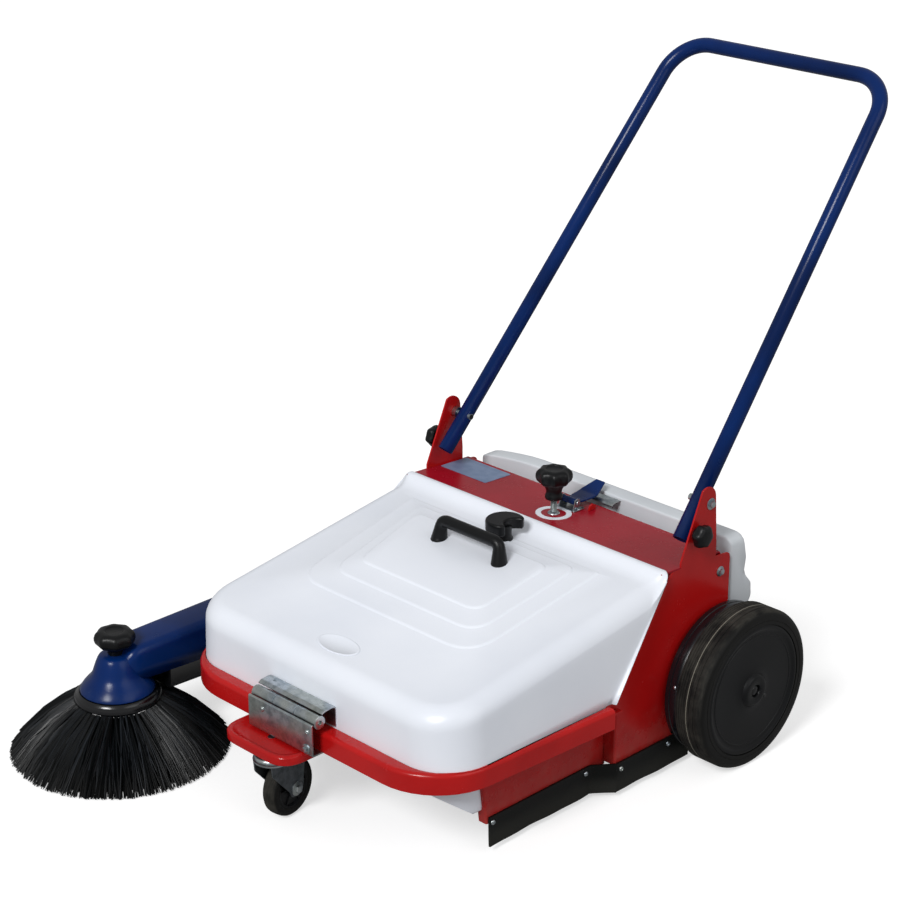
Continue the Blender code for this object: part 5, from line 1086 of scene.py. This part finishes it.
BIG_HEAD = [
    (15, -0.5), (20, 0), (24, 1.5), (27.2, 5), (28.5, 9.5), (28.5, 14.5), (27, 19.2), (24, 22.2),
    (20, 23.6), (15, 24), (13.5, 23.6), (12.8, 22.6), (12, 22.2), (1, 22.4)]
KNOB = (0, 61, 0)
height_head = moved(lobed(BIG_HEAD, 8, 4.2), (0, KNOB[1], 377))
neck = turned(
    [(0, 350.5), (10.5, 350.5), (13.2, 352), (14, 355), (13.2, 359), (11.8, 362), (12.5, 366.5),
     (16, 374), (20, 379), (0, 379)], "Z", KNOB, 32)
piece("height_knob_head", welded(height_head, neck), BLACK, "height_knob", ["height_knob"], angle=40)
THREAD_FOOT, THREAD_PITCH = 323.5, 1.25
thread = []
for i in range(25):
    z = THREAD_FOOT + THREAD_PITCH * i
    thread += [(5, z), (4.4, z + THREAD_PITCH / 2)]
rod = turned([(0, 323), *thread, (4.4, 356), (0, 356)], "Z", KNOB, 20)
piece("height_screw_thread", rod, ZINC, "height_knob", angle=60)
bush = turned(
    [(5.3, 326.2), (9, 326.2), (9.4, 327.5), (8.6, 328.8), (7, 330), (5.3, 330)], "Z", KNOB, 32, ring=True)
piece("height_screw_bush", bush, ZINC, "chassis", ["screw_bush"], angle=40)
on_deck = shift(0, KNOB[1], deck_z(KNOB[1]) + 0.1) @ Matrix.Rotation(math.atan(DECK_SLOPE), 4, "X")
mark = placed(hollow(19.5, 28, 0, 0.6, steps=64), on_deck)
piece("deck_scale_ring", mark, WHITE, "chassis", angle=50)

SIDE_X, SIDE_Y = -366, -508
SIDE_HUB = (SIDE_X, SIDE_Y, 0)
side_head = moved(lobed([(r * 1.10, h) for r, h in BIG_HEAD], 8, 2.8), (SIDE_X, SIDE_Y, 171.5), spin=0.2)
DOME_TOP = 157.3
neck_foot = DOME_TOP - 0.05
side_neck = turned(
    [(0, neck_foot), (11.5, neck_foot), (12.2, 160), (12, 163), (14, 167), (18.5, 173), (0, 173)],
    "Z", SIDE_HUB, 32)
piece(
    "side_brush_knob_head", welded(side_head, side_neck), BLACK, "side_knob", ["side_brush_knob"],
    angle=40)

SMALL_HEAD = [
    (10, 0), (15, 0.8), (17.8, 3.5), (18.5, 7.5), (18.2, 11.5), (16.5, 15), (13, 17.2), (8, 18.2),
    (0.4, 18.4)]
for side, name in SIDES:
    head = moved(lobed(SMALL_HEAD, 6, 2.6), (side * 270, *STUD[1:]), (side, 0, 0), 0.3)
    collar = mirrored(cylinder(10.5, 266.7, 271.2, "X", STUD), side)
    knob = welded(head, collar)
    piece(f"handle_knob_{name}_head", knob, BLACK, f"handle_knob_{name}", [f"handle_knob_{name}"], angle=40)
print("Knobs:", faces_made["height_knob_head"], "faces on the biggest")

# %% Bow grip
GRIP_X, GRIP_Y, GRIP_HALF, GRIP_TOP, GRIP_LEAN = -15, -104.5, 60, 343, 0.10
foot_z = cover_z(GRIP_Y)
leg = [(GRIP_HALF + 4, foot_z), (GRIP_HALF + 3, foot_z + 10), (GRIP_HALF, GRIP_TOP)]
bow = soften(leg + [(-x, z) for x, z in reversed(leg)], [0, 6, 13, 13, 6, 0], 6, closed=False)
path = [(GRIP_X + x, GRIP_Y - GRIP_LEAN * (GRIP_TOP - z), z) for x, z in bow]
radii = [9.5 + 4.2 * clamp((334 - z) / (334 - foot_z)) for _, z in bow]
parts = [tube(path, radii, 6)]
for x in (GRIP_X + GRIP_HALF + 4, GRIP_X - GRIP_HALF - 4):
    foot = turned([(0, -1.5), (14.8, -1.5), (14.8, 2.2), (13.8, 4), (0, 5)], steps=32)
    parts.append(moved(placed(foot, stretch(1, 0.86, 1)), (x, GRIP_Y - 3, foot_z), (0, -TOP_SLOPE, 1)))
piece("cover_bow_grip", welded(*parts), BLACK, "hopper", ["hopper_grip"], angle=50)

# %% Latch knob
LATCH_Y, MOON_R = -46, 30
moon = arc((0, LATCH_Y), MOON_R, 60, 300, 24) + arc((MOON_R * 0.78, LATCH_Y), MOON_R * 0.62, 258, 102, 10)
stem = turned(
    [(0, 304), (8, 304), (8, 316.5), (12.5, 316.5), (12.5, 320), (10.5, 322.5), (10, 340), (0, 340)],
    "Z", (0, LATCH_Y, 0), 32)
cam = drawn(soften([(-9, -54), (50, -54), (50, -38), (-9, -38)], 4, 4), "Z", 302, 306)
piece("latch_knob_body", welded(stem, cam), BLACK, "latch", bevel=0.6, angle=50)
wing = drawn(moon, "Z", 332, 350.5)
piece("latch_knob_wing", wing, BLACK, "latch", ["hopper_latch"], bevel=4.5)
print("Grip and latch:", faces_made["cover_bow_grip"], "faces")

# %% [markdown]
# ## The hinge in front
# Two bright leaves meet in rolled knuckles on a pin. A leaf is a bent line drawn along the hinge and
# thickened, and the knuckles are turned rings, so that the pin's end shows in the last one, as on any piano
# hinge.

# %% Hinge leaves, knuckles and screws
HINGE, HINGE_LOW, HINGE_HIGH, HINGE_FACE = (0, -474, 190), -77, 59, -489.5


def leaf(line, low, high):
    """A bent sheet between two x values."""
    return skin([[(x, *spot) for spot in line] for x in (low, high)])


def knuckle(low, high):
    return turned(
        [(3.7, low), (9.2, low), (10, low + 0.6), (10, high - 0.6), (9.2, high), (3.7, high)],
        "X", HINGE, 32, ring=True)


third = (HINGE_HIGH - HINGE_LOW) / 3
front_line = soften(
    [(-470, 140.5), (HINGE_FACE, 140.5), (HINGE_FACE, 189.8), (-486.2, 190.2)], [0, 4, 2.4, 0], 5,
    closed=False)
front_leaf = outward(leaf(front_line, HINGE_LOW, HINGE_HIGH), (0, -1, 0))
piece("hinge_front_leaf", front_leaf, ZINC, "chassis", ["hinge_lower_leaf"], bevel=0.5, wall=2.4, angle=40)
rings = [knuckle(HINGE_LOW, HINGE_LOW + third - 0.4), knuckle(HINGE_HIGH - third + 0.4, HINGE_HIGH)]
pin = turned(
    [(0, HINGE_LOW + 3), (3, HINGE_LOW + 3), (3.5, HINGE_LOW + 3.5), (3.5, HINGE_HIGH - 3.5),
     (3, HINGE_HIGH - 3), (0, HINGE_HIGH - 3)], "X", HINGE, 20)
piece("hinge_pin_and_knuckles", welded(*rings, pin), ZINC, "chassis", angle=40)
back_line = soften(
    [(-444.6, 172), (-444.6, 204.5), (-464, 203), (-469.5, 200.3)], [0, 6, 4, 0], 5, closed=False)
back_leaf = outward(leaf(back_line, HINGE_LOW, HINGE_HIGH), (0, -0.3, 1))
piece("hinge_back_leaf", back_leaf, ZINC, "hopper", ["hinge_upper_leaf"], bevel=0.5, wall=-2.2, angle=40)
piece("hinge_middle_knuckle", knuckle(HINGE_LOW + third, HINGE_HIGH - third), ZINC, "hopper", angle=40)
parts = [pan_screw((x, HINGE_FACE, 177.5), (0, -1, 0), 4.2, spin) for x, spin in ((-47, 0.4), (49, 1.1))]
parts.append(hex_bolt((46.5, HINGE_FACE, 150), (0, -1, 0), 8, 3.6))
piece("hinge_front_screws", welded(*parts), ZINC, "chassis", angle=40)
leaf_up = (0, -0.08, 0.997)
parts = [pan_screw((x, -454.5, 203.8), leaf_up, 4.2, spin) for x, spin in ((-59, 0.2), (47, 0.9))]
piece("hinge_back_screws", welded(*parts), ZINC, "hopper", angle=40)
print("Hinge:", faces_made["hinge_front_leaf"], "faces on the front leaf")

# %% [markdown]
# ## Lever, catch and small sheet parts on the deck
# The blue strap over the drawer is a bent line too. Its far end is rounded in plan, so each row across it
# takes its height from the side view and its width from how near it is to the tip.

# %% Clamp lever and its bracket
PIN = (0, 98, 337.5)
side_line = soften([(PIN[1], 337), (116, 336.8), (140, 338.3), (168, 350)], [0, 20, 20, 0], 6, closed=False)
rows = []
for y, z in side_line:
    wide = 12 + 5 * clamp((y - 110) / 12)
    near_tip = clamp((y - 158) / 10)
    reach = wide * math.sqrt(1 - 0.75 * near_tip ** 2)
    rows.append([(share * reach, y, z) for share in (-1, -0.5, 0, 0.5, 1)])
strap = outward(skin(rows), (0, 0, 1))
piece("clamp_lever_strap", strap, BLUE, "lever", ["clamp_lever"], bevel=0.6, wall=2.8, angle=40)
piece("clamp_lever_eye", hollow(2.9, 5.2, -12, 12, "X", PIN, 28), BLUE, "lever", bevel=0.4, angle=50)
base = deck_z(PIN[1]) + 0.4
ear_line = [(PIN[1] - 10, base), (PIN[1] + 10, base), *arc(PIN[1:], 6.2, 0, 180, 14)]
ears = [mirrored(drawn(ear_line, "X", 13.8, 15.5), side) for side in (-1, 1)]
foot = drawn(soften([(-20, 86), (20, 86), (20, 110), (-20, 110)], 3, 4), "Z", base, base + 2)
piece("lever_bracket_sheet", welded(foot, *ears), ZINC, "chassis", ["lever_bracket"], bevel=0.4, angle=50)
end = [(3.2, 18), (3.8, 17.2), (3.8, 16.2), (2.5, 16)]
lever_pin = turned([(0, -18), *[(r, -x) for r, x in end], *end[::-1], (0, 18)], "X", PIN, 20)
screws = [pan_screw((x, PIN[1], base + 1.8), (0, 0, 1), 3, x * 0.04) for x in (-17.8, 17.8)]
piece("lever_pin_and_screws", welded(lever_pin, *screws), ZINC, "chassis", angle=40)

# %% Catch plate, tab, label and the bolt beside them
catch = leaf([(144, 326.6), (146.5, 329), (152, 330.2), (164, 330.6)], -15, 45)
outward(catch, (0, 0, 1))
piece("drawer_catch_plate", catch, ZINC, "chassis", bevel=0.3, wall=1.4, angle=40)
tab = drawn(
    soften([(109, 324.5), (125, 324), (123.5, 331.5), (118, 334.5), (111, 332)], [0, 0, 3, 4, 3], 4),
    "X", 27.5, 30)
piece("deck_tab", tab, RED, "chassis", bevel=0.5)
label = drawn(soften([(-259, 72), (-158, 72), (-158, 131), (-259, 131)], 3, 4), "Z", 0, 0.6)
for corner in label.verts:
    corner.co.z += deck_z(corner.co.y) + 0.1
piece("deck_bare_label", label, LABEL, "chassis", angle=50)
parts = [hex_bolt((side * PLATE_X, 138.5, 291.5), (side, 0, 0), 8.5, 4, spin=0.5) for side in (-1, 1)]
piece("side_plate_bolts", welded(*parts), ZINC, "chassis", angle=40)
parts = []
for side in (-1, 1):
    for x, y, z in ((248.2, -321.8, 48), (248.2, -129, 48), (272.4, -79, 46.4), (272.4, 26.4, 46.8)):
        parts.append(pan_screw((side * x, y, z), (side, 0, 0), 4.2, y * 0.03))
piece("skirt_screws", welded(*parts), ZINC, "chassis", angle=40)
print("Small parts:", faces_made["skirt_screws"], "faces of skirt screws")

# %% [markdown]
# ## Wheels
# A wheel is turned from a profile. The tread is ringed with shallow grooves, so the profile dips at each
# one. The hub is a moulding with a dished face, and the left one carries a drum that hides the brush's
# gear.

# %% Tyres
AXLE, WHEEL_R = (0, 131.5, 125), 125
GROOVE, LINE_GROOVE, LINE_X = 1.2, 0.7, 318.3
TREAD = []
for x in (301, 305.2, 309.4, 313.6, LINE_X, 323.4, 331.2):
    low = WHEEL_R - (LINE_GROOVE if x == LINE_X else GROOVE)
    TREAD += [(WHEEL_R, x), (low, x + 0.4), (low, x + 1.6), (WHEEL_R, x + 2)]
TYRE_LINE = [
    (103, 296), (118.5, 296), (121.5, 296.6), (123.8, 298.5), *TREAD, (WHEEL_R, 338),
    (124.3, 340.5), (122.5, 343.8), (119.5, 346.2), (115, 347), (110, 347), (109.5, 346.4),
    (108.5, 346.4), (108, 347), (103, 347)]
MOULD_LINE = [(WHEEL_R - 1, 318.6), (WHEEL_R, 318.7), (WHEEL_R, 319.9), (WHEEL_R - 1, 320)]
TYRE = tyre_rubber("tyre_rubber_dusty", (CENTRE + Vector(AXLE)) * MM, WHEEL_R * MM)
for side, name in SIDES:
    tyre = mirrored(turned(TYRE_LINE, "X", AXLE, 96, ring=True), side)
    piece(f"tyre_{name}_ribbed", tyre, TYRE, f"wheel_{name}", [f"tyre_{name}"], angle=38)
    # A thin pale ring in the mould line's groove: a painted highlight along the tyre's parting line.
    line = mirrored(turned(MOULD_LINE, "X", AXLE, 96, ring=True), side)
    piece(f"tyre_{name}_mould_line", line, MOULD_LINE_HIGHLIGHT, f"wheel_{name}", angle=38)

# %% Hubs
HUB = [
    (0, 296), (102.7, 296), (102.7, 345.5), (101, 346.6), (97.5, 346.6), (95, 345.2), (92.5, 344),
    (89, 344), (88.2, 344.7), (86.8, 344.7), (86, 344), (40, 343.2), (33, 344), (27, 345.2),
    (24.5, 349), (22.5, 350.7), (20, 351), (11.5, 351), (10, 350), (9, 346.2), (0, 346.2)]
DRUM = [
    (0, 270.6), (112, 270.6), (116.5, 271.6), (118, 273.5), (118, 280), (116.8, 280.8),
    (116.8, 283.2), (118, 284), (118, 294.5), (117, 295.8), (0, 295.8)]
for side, name in SIDES:
    hub = mirrored(turned(HUB, "X", AXLE, 96), side)
    piece(f"hub_{name}_moulding", hub, BLACK, f"wheel_{name}", [f"hub_{name}"], angle=38)
    cap = turned([(0, 346), (7.4, 346), (7.4, 347.8), (6, 349), (0, 349.4)], "X", AXLE, 24)
    vent = turned(
        [(0, 343.2), (3.6, 343.2), (3.6, 344.8), (2.8, 345.6), (0, 345.8)], "X", (0, 160.8, 105.6), 16)
    piece(f"hub_{name}_cap", mirrored(welded(cap, vent), side), GLOSS_BLACK, f"wheel_{name}", angle=40)
piece("hub_left_drum", turned(DRUM, "X", AXLE, 96), GLOSS_BLACK, "wheel_left", angle=38)
drum_screws = []
for degrees in (167.5, 47.5, 287.5):
    out = Vector((0, math.cos(math.radians(degrees)), math.sin(math.radians(degrees))))
    drum_screws.append(pan_screw(Vector(AXLE) + out * 117.6 + Vector((289, 0, 0)), out, 3, degrees))
piece("drum_screws", welded(*drum_screws), ZINC, "wheel_left", angle=40)
print("Wheel:", faces_made["tyre_left_ribbed"], "faces on a tyre")

# %% [markdown]
# ## Caster
# The caster's fork is pressed sheet: a round crown over two tapered legs. It stands at a slight turn, so
# its parts are made straight, at the swivel's own axis, and one matrix puts them in place.

# %% Fork, crown and wheel bolt
CASTER, TRAIL = Vector((-37, -455, 45)), 32
HEADING = math.radians(-10)
SWIVEL = CASTER - Vector((math.sin(HEADING), math.cos(HEADING), 0)) * TRAIL
TO_CASTER = shift(SWIVEL.x, SWIVEL.y, 0) @ Matrix.Rotation(-HEADING, 4, "Z")
CASTER_AXLE = (0, TRAIL, CASTER.z)
FORK_OUT = 17.6
crown = turned(
    [(0, 100.5), (25.5, 100.5), (28, 102.2), (28.3, 105), (26.2, 106.2), (26.2, 107.2), (27, 108),
     (26.2, 110.5), (23.5, 112.8), (7, 113), (0, 113)])
piece("caster_fork_crown", placed(crown, TO_CASTER), ZINC, "caster_fork", slot="steel", angle=40)
leg_line = soften(
    [(-22.5, 103), (-20.5, 86), (17, 44), (21.5, 33), (42.5, 33), (47, 44), (52, 86), (50, 103)],
    [0, 10, 10, 10, 10, 10, 10, 0], 5)
legs = [mirrored(drawn(leg_line, "X", 15, FORK_OUT), side) for side in (-1, 1)]
bridge = block((-FORK_OUT, -22.5, 100.4), (FORK_OUT, 50, 103))
fork = placed(welded(*legs, bridge), TO_CASTER)
piece("caster_fork_legs", fork, FORK, "caster_fork", ["caster_fork"], bevel=1, angle=40)
axle_bolt = welded(
    hex_bolt((FORK_OUT, *CASTER_AXLE[1:]), (1, 0, 0), 12, 4.6),
    hex_bolt((-FORK_OUT, *CASTER_AXLE[1:]), (-1, 0, 0), 12, 4),
    cylinder(3.9, -FORK_OUT, FORK_OUT, "X", CASTER_AXLE, 16))
piece("caster_axle_bolt", placed(axle_bolt, TO_CASTER), ZINC, "caster_fork", angle=40)

# %% Caster wheel
def both_ends(line):
    """A profile's one half, and the same half turned round behind it."""
    return line + [(r, -h) for r, h in reversed(line)]


CASTER_RUBBER = tyre_rubber(
    "caster_tyre_rubber", (CENTRE + CASTER) * MM, CASTER.z * MM, turn=HEADING, shine=0.45)
tread = both_ends([(32.2, -11.8), (38, -12.8), (41.5, -12), (43.8, -9.5), (44.8, -6), (45, 0)])
tyre = placed(turned(tread, "X", CASTER_AXLE, 64, ring=True), TO_CASTER)
piece("caster_tyre_round", tyre, CASTER_RUBBER, "caster_wheel", ["caster_tyre"], angle=50)
hub_line = both_ends(
    [(4.2, -14.3), (9.5, -14.3), (11, -13.6), (12.5, -8), (27, -8), (29, -11), (31.8, -11.8), (32.2, 0)])
parts = [turned(hub_line, "X", CASTER_AXLE, 48, ring=True)]
for k in range(6):
    spoke = shift(*CASTER_AXLE) @ Matrix.Rotation(math.tau * k / 6, 4, "X")
    parts.append(placed(block((-10, 11.5, -1.2), (10, 28.5, 1.2)), spoke))
hub = placed(welded(*parts), TO_CASTER)
piece("caster_hub_ribbed", hub, BLACK, "caster_wheel", ["caster_hub"], angle=40)
print("Caster:", faces_made["caster_tyre_round"], "faces on its tyre")

# %% [markdown]
# ## Side brush arm
# The blue arm is a deep pressed channel that runs out to a dome. Its sections are an upside-down U with
# rounded shoulders, so a skin over a row of them follows the arm's skew and slope, and the dome is turned.

# %% Arm and dome
ARM_HALF, ARM_LOW, PIVOT_Y, PIVOT_Z, ARM_REAR_X = 34, 118, -35, 160, -327
ARM_SKEW = (SIDE_X - ARM_REAR_X) / (SIDE_Y - PIVOT_Y)


def arm_section(y, top, round_r, narrow=0.0):
    half = ARM_HALF - narrow
    middle = ARM_REAR_X + ARM_SKEW * (y - PIVOT_Y)
    right = arc((half - round_r, top - round_r), round_r, 0, 90, 6)
    line = [(half, ARM_LOW), (half, (ARM_LOW + top - round_r) / 2), *right]
    line += [(-x, z) for x, z in reversed(line)]
    return [(middle + x, y, z) for x, z in line]


def arm_top(y):
    return 172 + 0.060 * (y + 468)


sections = []
for y, drop, narrow in ((1, 15, 4), (0.5, 9, 2), (-2, 4.5, 0.8), (-7, 1.2, 0)):
    sections.append(arm_section(y, arm_top(y) - drop, 14, narrow))
sections += [arm_section(y, arm_top(y), 13) for y in (-16, -100, -200, -300, -400, -455)]
for y, top in ((-470, 171.9), (-484, 171.2), (-494, 168), (-502, 162), (SIDE_Y, 154)):
    sections.append(arm_section(y, top, 13, max(0, (-490 - y) * 0.30)))
arm = outward(capped(capped(skin(sections), 1, 1), 1, SIDE_Y))
piece("side_arm_channel", arm, BLUE, "side_arm", ["arm_housing"], wall=2.4)
dome_line = [
    (0, DOME_TOP), (18.5, DOME_TOP), (23.2, 156.6), (25.8, 154.5), (28, 151), (31, 144), (33.8, 136),
    (36.5, 128), (40.5, 121.2), (47, 114.5), (52.5, 108), (55.2, 104), (56.6, 101.2), (56.8, 99.8)]
dome = turned(dome_line, "Z", SIDE_HUB, 72)
piece("side_arm_dome", dome, BLUE, "side_arm", wall=2.4, angle=50)
boss_x = ARM_REAR_X - ARM_HALF
boss = turned(
    [(8.3, boss_x - 1.8), (15, boss_x - 1.8), (15.8, boss_x - 1), (15.8, boss_x + 2), (8.3, boss_x + 2)],
    "X", (0, PIVOT_Y, PIVOT_Z), 32, ring=True)
pivot_nut = hex_bolt((boss_x - 2.4, PIVOT_Y, PIVOT_Z), (-1, 0, 0), 19, 6)
piece("arm_pivot_boss", boss, BLUE, "side_arm", angle=40)
piece("arm_pivot_nut", pivot_nut, ZINC, "chassis", angle=30)
print("Arm:", faces_made["side_arm_channel"], "faces; dome:", faces_made["side_arm_dome"])

# %% [markdown]
# ## Brushes
# Thousands of strands make a brush. Each one is a poly spline with a few points, swept by a curve's bevel,
# which is far quicker than an operator for each. The strands start in tufts and spread, so the ends look
# uneven. A random number goes along with each strand in an attribute, for the finish to read.

# %% Strands
def strands(name, paths, thick, thin, body, replaces):
    """Many thin strands as one mesh. The bevel gives each point of a path four corners."""
    tapered = []
    for path in paths:
        last = len(path) - 1
        tapered.append([(spot, thick + (thin - thick) * i / last) for i, spot in enumerate(path)])
    made = piece(name, swept(tapered, 0, True), BRISTLE, body, replaces, angle=80)
    per_strand = len(made.data.vertices) // len(paths)
    numbers = random.Random(len(paths))
    values = []
    for _ in paths:
        values += [numbers.random()] * per_strand
    made.data.attributes.new("strand", "FLOAT", "POINT").data.foreach_set("value", values)

# %% Side brush
SIDE_REACH, FLOOR_GAP = 169, 2
lots = random.Random(11)
paths = []
for row, tufts, each in ((0.05, 56, 36), (0.36, 50, 30), (0.68, 44, 26), (0.96, 36, 20)):
    for tuft in range(tufts):
        around = math.tau * (tuft + 0.5 * (row > 0.3)) / tufts + lots.uniform(-0.02, 0.02)
        for _ in range(each):
            share = clamp(row + lots.uniform(-0.06, 0.06))
            root_r, root_z = 66.5 - 19.5 * share, 85 - 14 * share
            start = around + lots.gauss(0, 0.016)
            end = around + lots.gauss(0, 0.066)
            tip_r = SIDE_REACH - 50 * share - abs(lots.gauss(0, 4))
            bow = 6 * (1 - share) + lots.uniform(-1, 1)
            path = []
            for t in (0, 0.33, 0.68, 1.0):
                swell = math.sin(math.pi * t)
                r = min(root_r + (tip_r - root_r) * t + 4 * swell, SIDE_REACH)
                a = start + (end - start) * t
                z = root_z + (FLOOR_GAP - root_z) * t + bow * swell
                path.append((SIDE_X + r * math.cos(a), SIDE_Y + r * math.sin(a), z))
            paths.append(path)
strands("side_brush_strands", paths, 1, 0.8, "side_brush", ["side_brush_bristles"])
hub_ring = turned(
    [(6.3, 72), (45, 72), (64, 84.2), (66, 86.2), (66.2, 89.5), (65, 92.5), (62.5, 93.8),
     (61.2, 95.2), (60, 97.8), (58, 98.8), (56.6, 98.4), (56, 94.5), (18.5, 94.5), (18.5, 112),
     (24, 112.5), (24, 114.2), (20.2, 117.8), (20.2, 122.2), (24, 125.8), (24, 127.5), (6.3, 128)],
    "Z", SIDE_HUB, 80, ring=True)
piece("side_brush_hub_ring", hub_ring, GLOSS_BLACK, "side_brush", ["side_brush_hub"], angle=40)
print("Side brush:", len(paths), "strands")

# %% Main brush
BRUSH, BRUSH_HALF, CORE_R = (0, 39.985, 96), 226, 43
paths = []
for row in range(10):
    for tuft in range(44):
        x0 = -BRUSH_HALF + 6 + (2 * BRUSH_HALF - 12) * tuft / 43
        around = math.tau * row / 10 + 0.0014 * x0
        for _ in range(7):
            start, end = around + lots.gauss(0, 0.05), around + lots.gauss(0, 0.12)
            tip = 93.8 - abs(lots.gauss(0, 1.2))
            x1 = max(-BRUSH_HALF, min(BRUSH_HALF, x0 + lots.gauss(0, 4)))
            path = []
            for t in (0, 0.55, 1.0):
                r = CORE_R + (tip - CORE_R) * t
                a = start + (end - start) * t * t
                path.append((x0 + (x1 - x0) * t, BRUSH[1] + r * math.cos(a), BRUSH[2] + r * math.sin(a)))
            paths.append(path)
strands("main_brush_strands", paths, 0.8, 0.6, "main_brush", ["brush_bristles"])
sleeve_line = both_ends([(40.2, -BRUSH_HALF), (44, -BRUSH_HALF), (44.5, 1 - BRUSH_HALF)])
sleeve = turned(sleeve_line, "X", BRUSH, ring=True)
piece("main_brush_sleeve", sleeve, BLACK, "main_brush", slot="bristle", angle=40)
print("Main brush:", len(paths), "strands")

# %% [markdown]
# ## Finishes for the parts that keep their CAD shape
# The hidden machinery is already right as it is: bushes, gears, pulleys, shafts and inner walls. These
# nodes only get a finish in their material slot, and their meshes stay untouched.

# %% Finishes on carried-over nodes
KEPT = {
    RED: ("rear_wall", "brush_hood"),
    SKIRT: ("rear_flap",),
    NYLON: (
        "axle_bearing_left", "axle_bearing_right", "drive_gear", "drive_pulley", "brush_pinion",
        "idler_pulley"),
    STEEL: ("axle_left", "axle_right", "brush_shaft", "side_brush_shaft"),
    ZINC: ("drawer_runner_left", "drawer_runner_right", "latch_keeper", "arm_pivot", "caster_kingpin"),
    BLACK: ("brush_core", "arm_cover"),
    BELT: ("wheel_belt", "brush_belt"),
}
for finish, names in KEPT.items():
    for name in names:
        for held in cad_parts[name].material_slots:
            held.material = finish
shown_nodes = [name for name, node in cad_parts.items() if not node.hide_render]
print("CAD nodes still shown:", sorted(shown_nodes))
bare = set(shown_nodes) - {name for names in KEPT.values() for name in names}
print("Without a new finish:", sorted(bare))
